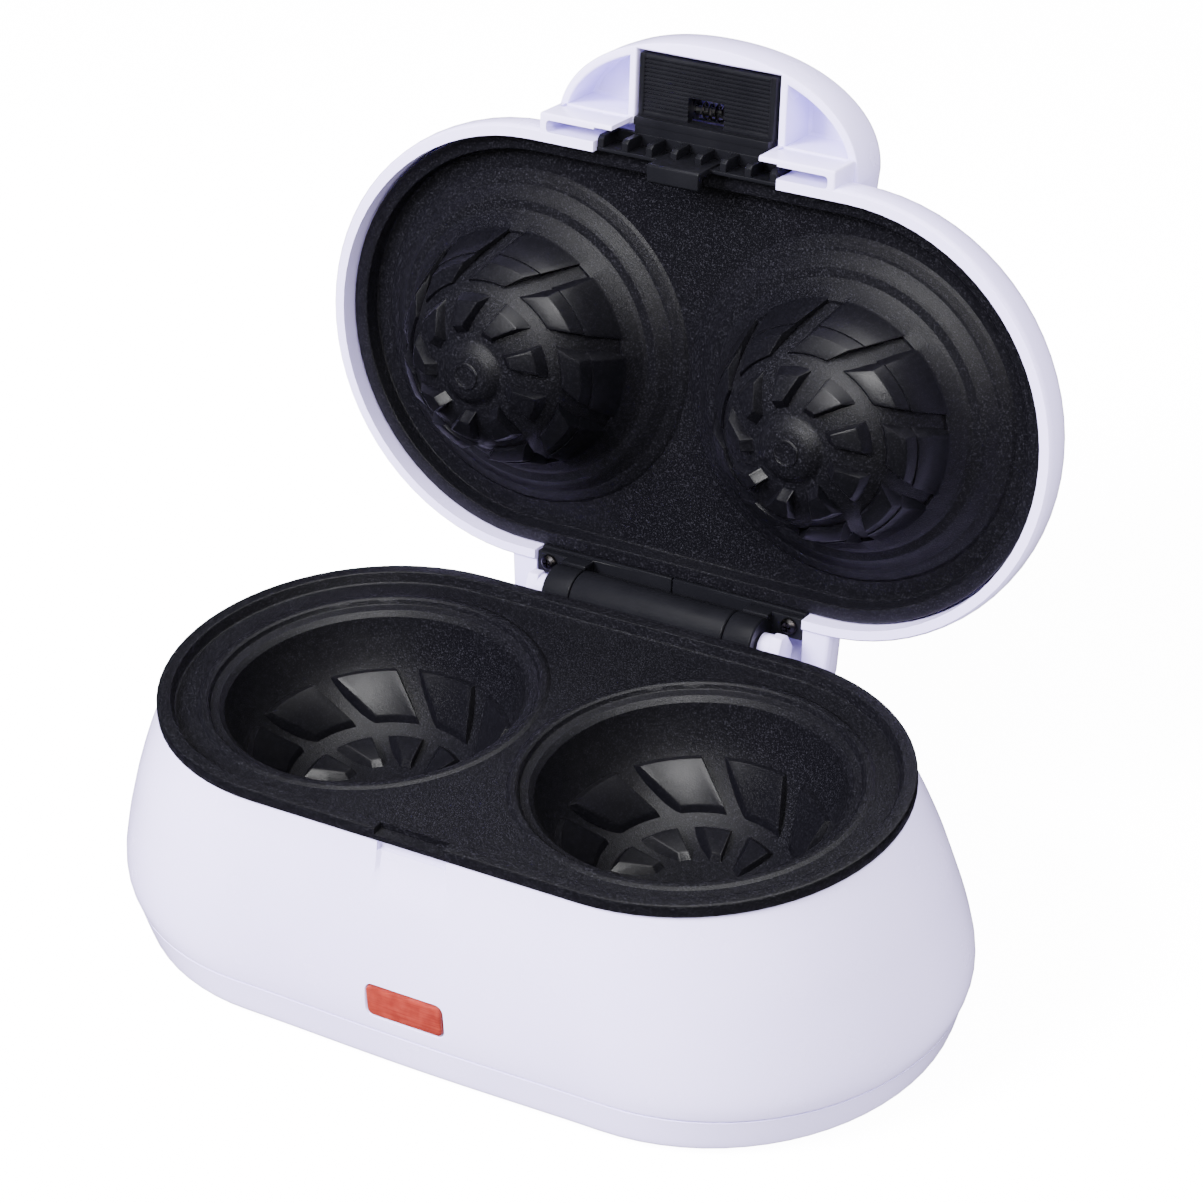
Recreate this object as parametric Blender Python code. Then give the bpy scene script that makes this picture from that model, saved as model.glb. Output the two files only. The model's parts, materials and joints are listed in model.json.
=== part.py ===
"""Double waffle-bowl maker, modelled with its lid open.

Two moulds sit side by side in an oval housing: the base holds two bowl cavities,
and the hinged lid carries the two domes that press into them.
Lid parts are drawn as they lie when the lid is closed, and an empty on the hinge
axis swings them open. Lengths are metres, angles degrees, +Z is up, the front
(latch and lamp) faces -Y and the hinge lies along X at the back.
"""

import math

import bmesh
import bpy
from mathutils import Vector

# ---- Driving dimensions ----
GAP = 0.0003                 # clearance between neighbouring pieces
WALL = 0.0025                # moulded plastic wall
ARC_STEPS = 10               # facets around each half-round end of an oval
ROUND_STEPS = 30             # facets around a bowl or dome

FOOTPRINT_MID_Y = 0.0348925     # middle of the open appliance, behind the base's middle
OPEN_ANGLE = 99.0            # lid opening, from closed

HINGE_Y = 0.0813
HINGE_Z = 0.0811
BARREL_RADIUS = 0.0090
PIN_RADIUS = 0.0025
BARREL_HALF = 0.0290         # half-length of the fixed barrel between the knuckles
KNUCKLE_END = 0.0397         # outer end of each lid knuckle
POST_END = 0.0485            # outer face of each hinge post

BOWL_X = 0.0586              # bowls and domes stand at +X and -X of this
RIM_TOP = 0.0877             # top of the lower mould plate
RIM_HEIGHT = 0.0043
RIM_WIDTH = 0.0050
LOWER_FLOOR = 0.0838         # floor of the lower plate, around the bowls
LOWER_UNDERSIDE = 0.0790
LOWER_PLATE = (0.1288, 0.0700)       # half-length, half-width
LID_PLANE = 0.0921           # lower face of the upper plate's rim, lid closed
UPPER_PLATE = (0.1281, 0.0713)
UPPER_FLOOR = 0.0975
UPPER_BACK = 0.1008

SEAM_Z = 0.0154              # joint between housing and bottom cover
TRAY_BOTTOM = 0.0020
TRAY_FLOOR = TRAY_BOTTOM + WALL
SIDE_BULGE = 0.0010          # the long sides crown outward by this much
BULGE_DROP = 0.0550          # and reach it this far below the housing's top edge

LATCH_Y = -0.0860            # latch pivot, lid closed
LATCH_Z = 0.1070
LATCH_PIN_RADIUS = 0.0015

# Housing side, from the top edge down: height, half-length, half-width
HOUSING_SIDE = (
    (0.0830, 0.1280, 0.0689),
    (0.0760, 0.1313, 0.0703),
    (0.0680, 0.1348, 0.0722),
    (0.0580, 0.1387, 0.0743),
    (0.0480, 0.1419, 0.0760),
    (0.0380, 0.1449, 0.0773),
    (0.0280, 0.1472, 0.0780),
    (0.0210, 0.1476, 0.0780),
    (SEAM_Z + GAP, 0.1460, 0.0775),
)
TRAY_SIDE = (
    (SEAM_Z, 0.1457, 0.0774),
    (0.0080, 0.1435, 0.0767),
    (0.0035, 0.1418, 0.0760),
    (TRAY_BOTTOM, 0.1398, 0.0742),
)
# Lid cover, from the lip up over the crown: height, half-length, half-width
LID_SIDE = (
    (0.0871, 0.1330, 0.0755),
    (0.0921, 0.1336, 0.0760),
    (0.0990, 0.1326, 0.0750),
    (0.1060, 0.1285, 0.0715),
    (0.1130, 0.1215, 0.0655),
    (0.1195, 0.1110, 0.0570),
    (0.1250, 0.0950, 0.0455),
    (0.1295, 0.0720, 0.0300),
    (0.1318, 0.0450, 0.0140),
)
LID_LIP_INNER = (0.1292, 0.0718)     # the lip passes outside both mould plates

# Outlines turned about a bowl's axis: radius, height
CAVITY = (
    (0.0495, 0.0900), (0.0495, 0.0838), (0.0485, 0.0760), (0.0450, 0.0660),
    (0.0380, 0.0550), (0.0290, 0.0465), (0.0220, 0.0435), (0.0, 0.0430),
)
BOWL_OUTSIDE = (
    (0.0525, 0.0810), (0.0515, 0.0740), (0.0480, 0.0640),
    (0.0410, 0.0525), (0.0320, 0.0437), (0.0240, 0.0403), (0.0, 0.0398),
)
DOME = (
    (0.0600, 0.0980), (0.0540, 0.0955), (0.0498, 0.0921), (0.0448, 0.0906),
    (0.0406, 0.0853), (0.0380, 0.0780), (0.0343, 0.0700), (0.0285, 0.0650),
    (0.0240, 0.0600), (0.0170, 0.0560), (0.0090, 0.0545), (0.0060, 0.0529),
    (0.0, 0.0526),
)
DOME_HOLLOW = (
    (0.0480, 0.1020), (0.0460, 0.0965), (0.0400, 0.0925), (0.0372, 0.0870),
    (0.0350, 0.0790), (0.0305, 0.0705), (0.0235, 0.0645), (0.0160, 0.0590),
    (0.0080, 0.0575), (0.0, 0.0565),
)

WHITE_PLASTIC = ("white_plastic", (0.83, 0.80, 0.90), 0.22, 0.0)
NONSTICK = ("nonstick_black", (0.016, 0.015, 0.020), 0.42, 0.35)
BLACK_PLASTIC = ("black_plastic", (0.012, 0.012, 0.015), 0.45, 0.0)
LENS_RED = ("lens_red", (0.80, 0.10, 0.06), 0.15, 0.0)
BRIGHT_STEEL = ("bright_steel", (0.62, 0.62, 0.64), 0.28, 1.0)
DARK_STEEL = ("dark_steel", (0.06, 0.06, 0.065), 0.35, 1.0)
DULL_ALUMINIUM = ("dull_aluminium", (0.55, 0.56, 0.57), 0.45, 1.0)
RUBBER = ("rubber_grey", (0.05, 0.05, 0.055), 0.80, 0.0)
CREAM_PLASTIC = ("cream_plastic", (0.72, 0.69, 0.60), 0.50, 0.0)
LAMP_GLASS = ("lamp_glass", (0.90, 0.60, 0.45), 0.08, 0.0)


# ---- Scene helpers ----

def clear_scene():
    """Remove the objects that the file opens with."""
    for obj in list(bpy.data.objects):
        bpy.data.objects.remove(obj, do_unlink=True)


def material(finish):
    """Principled material of a named finish, made once."""
    name, colour, roughness, metallic = finish
    found = bpy.data.materials.get(name)
    if found:
        return found
    made = bpy.data.materials.new(name)
    made.use_nodes = True
    shader = made.node_tree.nodes["Principled BSDF"]
    shader.inputs["Base Color"].default_value = (*colour, 1.0)
    shader.inputs["Roughness"].default_value = roughness
    shader.inputs["Metallic"].default_value = metallic
    made.diffuse_color = (*colour, 1.0)
    return made


def empty(name, location, parent=None, tilt=0.0):
    """Empty that carries a group of parts, turned about X by tilt degrees."""
    made = bpy.data.objects.new(name, None)
    made.location = location
    made.rotation_euler = (math.radians(tilt), 0.0, 0.0)
    made.parent = parent
    bpy.context.collection.objects.link(made)
    return made


def add_object(name, work, group, finish=None, smooth=True):
    """Turn a bmesh into an object of its group, with its faces pointing out."""
    bmesh.ops.recalc_face_normals(work, faces=work.faces)
    mesh = bpy.data.meshes.new(name)
    work.to_mesh(mesh)
    work.free()
    if smooth:
        mesh.shade_smooth()
        mesh.set_sharp_from_angle(angle=math.radians(32))
    made = bpy.data.objects.new(name, mesh)
    frame, pivot = group
    made.parent = frame
    made.location = (0.0, -pivot[0], -pivot[1])
    if finish:
        mesh.materials.append(material(finish))
    bpy.context.collection.objects.link(made)
    return made


def boolean(target, tool, operation):
    """Boolean a hidden tool into its target."""
    step = target.modifiers.new(tool.name, "BOOLEAN")
    step.operation = operation
    step.solver = "EXACT"
    step.object = tool
    tool.hide_render = True
    tool.display_type = "WIRE"


def join(target, *tools):
    """Fuse each tool shape onto the target."""
    for tool in tools:
        boolean(target, tool, "UNION")


def cut(target, *tools):
    """Cut each tool shape out of the target."""
    for tool in tools:
        boolean(target, tool, "DIFFERENCE")


# ---- Shape helpers ----

def oval(size, height, bulge=None, arc_steps=ARC_STEPS):
    """Points round an oval of half-round ends, its long sides straight or crowned."""
    half_length, half_width = size
    straight = half_length - half_width
    points = []
    for side in (1, -1):
        for step in range(arc_steps + 1):
            angle = math.radians(-90 + 180 * step / arc_steps)
            x = side * (straight + half_width * math.cos(angle))
            points.append((x, side * half_width * math.sin(angle), height))
        for share in (0.5, 0.0, -0.5) if bulge is not None else ():
            crown = bulge * (1 - share * share) ** 2
            points.append((side * share * straight, side * (half_width + crown), height))
    return points


def loft(name, rings, group, finish=None, closed_loop=False):
    """Skin equal rings of points; the ends are capped unless the loop is closed."""
    work = bmesh.new()
    layers = [[work.verts.new(point) for point in ring] for ring in rings]
    count = len(layers[0])
    pairs = list(zip(layers, layers[1:]))
    if closed_loop:
        pairs.append((layers[-1], layers[0]))
    for low, high in pairs:
        for i in range(count):
            j = (i + 1) % count
            work.faces.new((low[i], low[j], high[j], high[i]))
    if not closed_loop:
        work.faces.new(reversed(layers[0]))
        work.faces.new(layers[-1])
    return add_object(name, work, group, finish)


def turned(name, outline, group, centre=(0.0, 0.0), finish=None, axis="Z",
           steps=ROUND_STEPS, closed_loop=False):
    """Turn an outline of (radius, position along the axis) pairs about an axis.

    centre is the axis's place: (x, y) for a Z axis and (y, z) for an X axis.
    """
    def place(radius, along, angle):
        u = radius * math.cos(angle)
        v = radius * math.sin(angle)
        if axis == "Z":
            return (centre[0] + u, centre[1] + v, along)
        if axis == "X":
            return (along, centre[0] + u, centre[1] + v)
        return (centre[0] + u, along, centre[1] + v)

    work = bmesh.new()
    layers = []
    for radius, along in outline:
        if radius == 0.0:
            layers.append([work.verts.new(place(0.0, along, 0.0))])
            continue
        ring = [work.verts.new(place(radius, along, 2 * math.pi * i / steps)) for i in range(steps)]
        layers.append(ring)
    pairs = list(zip(layers, layers[1:]))
    if closed_loop:
        pairs.append((layers[-1], layers[0]))
    for low, high in pairs:
        for i in range(steps):
            j = (i + 1) % steps
            if len(low) == 1:
                work.faces.new((low[0], high[j], high[i]))
            elif len(high) == 1:
                work.faces.new((low[i], low[j], high[0]))
            else:
                work.faces.new((low[i], low[j], high[j], high[i]))
    if not closed_loop:
        for ring in (layers[0], layers[-1]):
            if len(ring) > 1:
                work.faces.new(ring)
    return add_object(name, work, group, finish)


def rod(name, radius, start, end, centre, group, finish=None, axis="Z", steps=16, bore=0.0):
    """Plain cylinder, or a tube where a bore radius is given."""
    if bore:
        outline = ((radius, start), (radius, end), (bore, end), (bore, start))
        return turned(name, outline, group, centre, finish, axis, steps, closed_loop=True)
    return turned(name, ((radius, start), (radius, end)), group, centre, finish, axis, steps)


def box(name, low, high, group, finish=None):
    """Rectangular block between two corners."""
    work = bmesh.new()
    bmesh.ops.create_cube(work, size=1.0)
    for vert in work.verts:
        for i in range(3):
            vert.co[i] = low[i] if vert.co[i] < 0 else high[i]
    return add_object(name, work, group, finish, smooth=False)


def prism(name, outline, start, end, group, finish=None, axis="Z"):
    """Straight extrusion of a flat outline along Z, X or Y."""
    def place(u, v, along):
        return {"Z": (u, v, along), "X": (along, u, v), "Y": (u, along, v)}[axis]

    work = bmesh.new()
    low = [work.verts.new(place(u, v, start)) for u, v in outline]
    high = [work.verts.new(place(u, v, end)) for u, v in outline]
    count = len(outline)
    work.faces.new(reversed(low))
    work.faces.new(high)
    for i in range(count):
        j = (i + 1) % count
        work.faces.new((low[i], low[j], high[j], high[i]))
    return add_object(name, work, group, finish)


def rounded_box(half_length, half_height, radius, centre, steps=4):
    """Outline of a rectangle with rounded corners."""
    points = []
    for quarter, (sx, sz) in enumerate(((1, 1), (-1, 1), (-1, -1), (1, -1))):
        for step in range(steps + 1):
            angle = math.radians(90 * quarter + 90 * step / steps)
            u = sx * (half_length - radius) + radius * math.cos(angle)
            v = sz * (half_height - radius) + radius * math.sin(angle)
            points.append((centre[0] + u, centre[1] + v))
    return points


def swept_tube(name, points, radius, group, finish, sides=8):
    """Round tube along a list of points, capped at both ends."""
    path = [Vector(point) for point in points]
    rings = []
    side = None
    for i, point in enumerate(path):
        ahead = path[min(i + 1, len(path) - 1)] - path[max(i - 1, 0)]
        ahead.normalize()
        if side is None:
            side = ahead.orthogonal().normalized()
        side = (side - ahead * side.dot(ahead)).normalized()
        other = ahead.cross(side)
        ring = []
        for k in range(sides):
            angle = 2 * math.pi * k / sides
            ring.append(point + radius * (math.cos(angle) * side + math.sin(angle) * other))
        rings.append(ring)
    return loft(name, rings, group, finish)


def inset(size, amount):
    """Oval size drawn in by the same amount all round."""
    return (size[0] - amount, size[1] - amount)


def bulge_at(height):
    """Crown of the long sides: none at the top edge, full at the belly."""
    share = min(1.0, max(0.0, (HOUSING_SIDE[0][0] - height) / BULGE_DROP))
    return SIDE_BULGE * share


# ---- Base dimensions ----

LENS_CENTRE = (-0.0013, 0.0278)      # x, z
LENS_HALF = (0.01375, 0.0056)
LENS_CORNER = 0.0020
LENS_FACE_Y = -0.0794
LENS_BACK_Y = -0.0748
WINDOW_Y = (-0.0900, -0.0700)

SCREW_BOSS_SPOTS = tuple((x, y) for x in (-0.062, 0.062) for y in (-0.0706, 0.0706))
FOOT_SPOTS = tuple((x, y) for x in (-0.078, 0.078) for y in (-0.0620, 0.0620))
CORNER_NAMES = ("front_left", "rear_left", "front_right", "rear_right")
HOUSING_BOSS_RADIUS = 0.0056
HOUSING_BOSS_TOP = 0.0400
HOUSING_BOSS_BORE = (0.0016, 0.0280)         # radius, top
TRAY_BOSS_RADIUS = 0.0050
TRAY_BOSS_LOW = TRAY_BOTTOM + 0.0005
TRAY_BORE_RADIUS = 0.0020
SCREW_WELL = (0.0036, 0.0060)                # radius, depth
BOTTOM_SCREW_HEAD = (0.0032, 0.0035, 0.0057)     # radius, low, high
BOTTOM_SCREW_SHANK = (0.0012, 0.0270)        # radius, tip

FOOT_STEM_HOLE = 0.0028
FOOT_DISC = (0.0070, 0.0075, 0.0072)         # radius at the floor, widest, at the cover
FOOT_STEM = (0.0024, 0.0066)                 # radius, height
FOOT_STEM_TIP = (0.0016, 0.0078)

GLAND_Z = 0.0270
GLAND_HOLE_RADIUS = 0.0062
GLAND_HOLE_Y = (0.0680, 0.0900)
# Cable gland, from inside the housing out: radius, y
GLAND = (
    (0.0058, 0.0738), (0.0058, 0.0795), (0.0086, 0.0800), (0.0086, 0.0825),
    (0.0062, 0.0831), (0.0046, 0.0963), (0.0036, 0.0963), (0.0036, 0.0738),
)

HOOK_HALF = 0.0125           # half-width of the notch and relief for the latch hook
HOOK_NOTCH = ((-0.0720, 0.0854), (-0.0660, 0.0900))      # y, z from and to
HOOK_RELIEF = ((-0.0760, 0.0793), (-0.0660, 0.0850))

PIN_END = 0.0463
SOCKET_INNER = 0.0300
SOCKET_END = 0.0467
STUB_START = 0.0403          # inner face of the stub that carries the pin
STUB_END = 0.0446
STUB_RADIUS = 0.0044
STUB_ARC = (150, -50, 9)     # first and last angle, points
STUB_FOOT = ((0.0730, 0.0570), (0.0730, 0.0720))         # y, z
GUSSET_START = 0.0443
GUSSET = (                   # y, z
    (0.0730, 0.0570), (0.0730, 0.0760), (0.0796, 0.0864), (0.0836, 0.0859),
    (0.0870, 0.0800), (0.0845, 0.0745), (0.0780, 0.0570),
)

BARREL_WEB_HALF = 0.0275
BARREL_WEB_CLEAR = 0.0008    # the web stands this far off the housing
BARREL_WEB_FRONT = ((0.0743, 0.0620), (0.0723, 0.0680), (0.0704, 0.0760))    # y, z
BARREL_WEB_BACK = ((0.0745, 0.0810), (0.0860, 0.0780), (0.0820, 0.0700), (0.0775, 0.0620))
BARREL_BORE_HALF = 0.0400

LOWER_SKIRT_INSET = 0.0042
RIM_SLOPE = 0.0008           # a rim's inner face leans in by this much
STUD_RADIUS = 0.0040
STUD_BORE = 0.0018
LOWER_STUD = (0.0343, LOWER_UNDERSIDE + 0.0010)
LOWER_STUD_BORE = (0.0300, 0.0480)

HEATER_RADIUS = 0.0030
HEATER_OPENING = 0.0140      # half-width of the gap at the back
HEATER_ARC_STEPS = 9
LOWER_HEATER = (0.0756, 0.0585)      # height, radius round a bowl
UPPER_HEATER = (0.1045, 0.0560)

# Reflector pans, ring by ring round the sheet: half-length, half-width, height
LOWER_PAN = (
    (0.1100, 0.0520, 0.0330), (0.1190, 0.0600, 0.0450), (0.1231, 0.0645, 0.0785),
    (0.1221, 0.0635, 0.0785), (0.1180, 0.0590, 0.0455), (0.1092, 0.0512, 0.0340),
)
UPPER_PAN = (
    (0.1080, 0.0520, 0.1115), (0.1180, 0.0610, 0.1080), (0.1225, 0.0655, 0.1012),
    (0.1215, 0.0645, 0.1012), (0.1172, 0.0602, 0.1072), (0.1070, 0.0512, 0.1105),
)
PAN_HOLE_RADIUS = 0.0021
LOWER_PAN_HOLE = (0.0300, 0.0360)
UPPER_PAN_HOLE = (0.1090, 0.1150)
LOWER_PAN_SCREW = (0.0038, 0.0304, 0.0327)
LOWER_PAN_SHANK = (0.0014, 0.0450)
UPPER_PAN_SCREW = (0.0038, 0.1141, 0.1118)
UPPER_PAN_SHANK = (0.0014, 0.1010)

THERMOSTAT_SPOT = (0.0, 0.0320)
THERMOSTAT = ((0.0080, 0.0675), (0.0080, 0.0755), (0.0095, 0.0760), (0.0095, 0.0785))
FUSE_SPOT = (-0.0330, 0.0750)        # y, z
FUSE_HALF = ((0.0006, 0.0170), (0.0006, 0.0095), (0.0022, 0.0090))   # radius, x
TERMINAL_BLOCK = ((-0.0150, 0.0420, TRAY_FLOOR + GAP), (0.0150, 0.0540, 0.0180))
TERMINAL_PITCH = 0.0095
TERMINAL_WELL_Y = 0.0480
TERMINAL_WELL = (0.0028, 0.0120, 0.0200)     # radius, floor, top
NEON_LAMP = ((0.0, -0.0060), (0.0014, -0.0052), (0.0022, -0.0040), (0.0022, 0.0060))
NEON_LAMP_Y = -0.0715
LAMP_HOLDER_HALF = (0.0120, 0.0070)
LAMP_HOLDER_Y = (-0.0685, -0.0660)
LAMP_CHEEK_HALF = (0.0010, 0.0050)
LAMP_CHEEK_Y = (-0.0742, -0.0670)


# ---- Base ----

def housing_rings(side, inward=0.0):
    """Rings of a housing side, drawn in by a wall."""
    return [oval(inset((length, width), inward), height, bulge_at(height))
            for height, length, width in side]


def make_hinge_post(side, housing, group):
    """Stub that carries one end of the hinge pin, with a gusset outside it."""
    first, last, count = STUB_ARC
    outline = list(STUB_FOOT)
    for i in range(count):
        angle = math.radians(first + (last - first) * i / (count - 1))
        outline.append((HINGE_Y + STUB_RADIUS * math.cos(angle),
                        HINGE_Z + STUB_RADIUS * math.sin(angle)))
    stub = prism(f"post_stub_{side}", outline, side * STUB_START, side * STUB_END, group, axis="X")
    gusset = prism(f"post_gusset_{side}", GUSSET, side * GUSSET_START, side * POST_END, group,
                   axis="X")
    join(housing, stub, gusset)
    cut(housing, rod(f"socket_{side}", PIN_RADIUS + GAP, side * SOCKET_INNER, side * SOCKET_END,
                     (HINGE_Y, HINGE_Z), group, axis="X"))


def make_housing(group):
    """White housing: a flared ring wall with screw bosses and hinge posts."""
    outer = housing_rings(HOUSING_SIDE)
    inner = housing_rings(HOUSING_SIDE[::2], WALL)
    housing = loft("base_housing", outer + inner[::-1], group, WHITE_PLASTIC, closed_loop=True)
    bore_radius, bore_top = HOUSING_BOSS_BORE
    for i, spot in enumerate(SCREW_BOSS_SPOTS):
        join(housing, rod(f"boss_{i}", HOUSING_BOSS_RADIUS, SEAM_Z + GAP, HOUSING_BOSS_TOP, spot,
                          group, steps=12))
        cut(housing, rod(f"boss_hole_{i}", bore_radius, 0.0, bore_top, spot, group, steps=10))
    for side in (-1, 1):
        make_hinge_post(side, housing, group)
    window = rounded_box(LENS_HALF[0] + GAP, LENS_HALF[1] + GAP, LENS_CORNER + GAP, LENS_CENTRE)
    (near_y, low_z), (far_y, high_z) = HOOK_RELIEF
    cut(housing, prism("lens_window", window, *WINDOW_Y, group, axis="Y"),
        box("latch_relief", (-HOOK_HALF, near_y, low_z), (HOOK_HALF, far_y, high_z), group),
        rod("gland_hole", GLAND_HOLE_RADIUS, *GLAND_HOLE_Y, (0.0, GLAND_Z), group, axis="Y"))


def make_bottom_cover(group):
    """White bottom cover: a shallow tray with holes for the feet and screws."""
    outer = housing_rings(TRAY_SIDE)
    inner_top = oval(inset(TRAY_SIDE[0][1:], WALL), SEAM_Z, bulge_at(SEAM_Z))
    inner_low = oval(inset(TRAY_SIDE[2][1:], WALL), TRAY_FLOOR, 0.0)
    tray = loft("base_bottom_cover", outer[::-1] + [inner_top, inner_low], group, WHITE_PLASTIC)
    for i, spot in enumerate(FOOT_SPOTS):
        cut(tray, rod(f"foot_hole_{i}", FOOT_STEM_HOLE, 0.0, SEAM_Z, spot, group, steps=12))
    well_radius, well_depth = SCREW_WELL
    for i, spot in enumerate(SCREW_BOSS_SPOTS):
        join(tray, rod(f"tray_boss_{i}", TRAY_BOSS_RADIUS, TRAY_BOSS_LOW, SEAM_Z, spot, group,
                       steps=12))
        cut(tray, rod(f"tray_hole_{i}", TRAY_BORE_RADIUS, 0.0, SEAM_Z + WALL, spot, group, steps=12),
            rod(f"screw_well_{i}", well_radius, 0.0, well_depth, spot, group, steps=14))


def make_feet(group):
    """Rubber feet: a disc below the cover and a stem up through it."""
    disc_top = TRAY_BOTTOM - GAP
    tread, widest, upper = FOOT_DISC
    stem_radius, stem_top = FOOT_STEM
    outline = ((tread, 0.0), (widest, widest - tread), (upper, disc_top), (stem_radius, disc_top),
               (stem_radius, stem_top), FOOT_STEM_TIP)
    for name, spot in zip(CORNER_NAMES, FOOT_SPOTS):
        turned(f"rubber_foot_{name}", outline, group, spot, RUBBER, steps=20)


def screw(name, head, shank, centre, group, finish=BRIGHT_STEEL):
    """Pan-head screw along Z: head is its radius, face and seat, shank its radius and tip."""
    head_radius, face, seat = head
    shank_radius, tip = shank
    point = math.copysign(0.75 * shank_radius, tip - face)
    outline = ((head_radius, face), (head_radius, seat), (shank_radius, seat),
               (shank_radius, tip - point), (0.0, tip))
    turned(name, outline, group, centre, finish, steps=12)


def make_bottom_screws(group):
    """One screw up through the cover into each housing boss."""
    for name, spot in zip(CORNER_NAMES, SCREW_BOSS_SPOTS):
        screw(f"bottom_screw_{name}", BOTTOM_SCREW_HEAD, BOTTOM_SCREW_SHANK, spot, group)


def make_lower_plate(group):
    """Cast lower mould plate: a rimmed oval tray with two bowl cavities."""
    skirt = inset(LOWER_PLATE, LOWER_SKIRT_INSET)
    flange_low = RIM_TOP - RIM_HEIGHT
    rings = [oval(skirt, LOWER_UNDERSIDE), oval(skirt, flange_low),
             oval(LOWER_PLATE, flange_low), oval(LOWER_PLATE, RIM_TOP),
             oval(inset(LOWER_PLATE, RIM_WIDTH), RIM_TOP),
             oval(inset(LOWER_PLATE, RIM_WIDTH + RIM_SLOPE), LOWER_FLOOR)]
    plate = loft("lower_mould_plate", rings, group, NONSTICK)
    join(plate, rod("lower_stud", STUD_RADIUS, *LOWER_STUD, (0.0, 0.0), group, steps=12))
    for side in (-1, 1):
        spot = (side * BOWL_X, 0.0)
        join(plate, turned(f"bowl_{side}", BOWL_OUTSIDE, group, spot))
        cut(plate, turned(f"cavity_{side}", CAVITY, group, spot))
    (near_y, low_z), (far_y, high_z) = HOOK_NOTCH
    cut(plate, box("hook_notch", (-HOOK_HALF, near_y, low_z), (HOOK_HALF, far_y, high_z), group),
        rod("lower_stud_thread", STUD_BORE, *LOWER_STUD_BORE, (0.0, 0.0), group, steps=10))


def make_heater(name, height, radius, group):
    """Tubular heating element: once round both bowls, left open at the back."""
    end = oval((BOWL_X + radius, radius), height, arc_steps=HEATER_ARC_STEPS)
    right_half = [(HEATER_OPENING, radius, height)] + end[HEATER_ARC_STEPS::-1]
    left_half = [(-x, y, z) for x, y, z in right_half[::-1]]
    swept_tube(name, right_half + left_half, HEATER_RADIUS, group, BRIGHT_STEEL)


def make_pan(name, rings, hole, group):
    """Pressed reflector pan with a hole for its screw."""
    pan = loft(name, [oval(ring[:2], ring[2]) for ring in rings], group, DULL_ALUMINIUM)
    cut(pan, rod(f"{name}_hole", PAN_HOLE_RADIUS, *hole, (0.0, 0.0), group, steps=12))


def make_base_heating(group):
    """Heater and reflector pan under the moulds."""
    make_heater("lower_heating_element", *LOWER_HEATER, group)
    make_pan("lower_heat_shield", LOWER_PAN, LOWER_PAN_HOLE, group)
    screw("lower_shield_screw", LOWER_PAN_SCREW, LOWER_PAN_SHANK, (0.0, 0.0), group)


def make_base_electrics(group):
    """Thermostat, thermal fuse, terminal block, lamp and cable gland."""
    turned("thermostat", THERMOSTAT, group, THERMOSTAT_SPOT, CREAM_PLASTIC, steps=20)
    fuse = [(radius, -x) for radius, x in FUSE_HALF] + list(FUSE_HALF[::-1])
    turned("thermal_fuse", fuse, group, FUSE_SPOT, BRIGHT_STEEL, axis="X", steps=12)
    block = box("terminal_block", *TERMINAL_BLOCK, group, CREAM_PLASTIC)
    for i in (-1, 0, 1):
        cut(block, rod(f"terminal_well_{i}", *TERMINAL_WELL, (i * TERMINAL_PITCH, TERMINAL_WELL_Y),
                       group, steps=12))
    lens = rounded_box(*LENS_HALF, LENS_CORNER, LENS_CENTRE)
    prism("indicator_lens", lens, LENS_FACE_Y, LENS_BACK_Y, group, LENS_RED, axis="Y")
    turned("cable_gland", GLAND, group, (0.0, GLAND_Z), BLACK_PLASTIC, axis="Y", steps=20,
           closed_loop=True)


def make_lamp(group):
    """Neon lamp behind the lens, in a holder with two cheeks."""
    x, z = LENS_CENTRE
    turned("neon_lamp", NEON_LAMP, group, (NEON_LAMP_Y, z), LAMP_GLASS, axis="X", steps=12)
    half_x, half_z = LAMP_HOLDER_HALF
    back, front = LAMP_HOLDER_Y
    holder = box("lamp_holder", (x - half_x, back, z - half_z), (x + half_x, front, z + half_z),
                 group, CREAM_PLASTIC)
    thick, tall = LAMP_CHEEK_HALF
    back, front = LAMP_CHEEK_Y
    for side in (-1, 1):
        middle = x + side * half_x
        join(holder, box(f"lamp_cheek_{side}", (middle - thick, back, z - tall),
                         (middle + thick, front, z + tall), group))


def make_hinge_barrel(group):
    """Fixed barrel of the hinge, on a web that stands off the housing's back."""
    axis_spot = (HINGE_Y, HINGE_Z)
    barrel = rod("hinge_barrel", BARREL_RADIUS, -BARREL_HALF, BARREL_HALF, axis_spot, group,
                 BLACK_PLASTIC, axis="X", steps=28)
    outline = [(y + BARREL_WEB_CLEAR, z) for y, z in BARREL_WEB_FRONT] + list(BARREL_WEB_BACK)
    outline = [(y + bulge_at(z), z) for y, z in outline]
    join(barrel, prism("barrel_web", outline, -BARREL_WEB_HALF, BARREL_WEB_HALF, group, axis="X"))
    cut(barrel, rod("barrel_bore", PIN_RADIUS + GAP, -BARREL_BORE_HALF, BARREL_BORE_HALF, axis_spot,
                    group, axis="X"))
    rod("hinge_pin", PIN_RADIUS, -PIN_END, PIN_END, axis_spot, group, BRIGHT_STEEL, axis="X")


# ---- Lid dimensions, lid closed ----

BOSS_ROOT_Y = -0.0740        # handle boss
BOSS_HALF = 0.0550
BOSS_DEPTH = 0.0347
BOSS_POWER = 2.15
BOSS_UNDERSIDE = 0.1008
BOSS_WALL = 0.0030
BOSS_STEPS = 16
BOSS_TAIL = 0.0220           # the boss runs back this far into the shell
BOSS_TAIL_SHARE = 0.9
# Rings of the boss: height, drawn in by, rise towards the back
BOSS_RINGS = ((BOSS_UNDERSIDE, 0.0, 0.0), (0.1160, 0.0004, 0.0), (0.1205, 0.0018, 0.05),
              (0.1235, 0.0050, 0.10))

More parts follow.
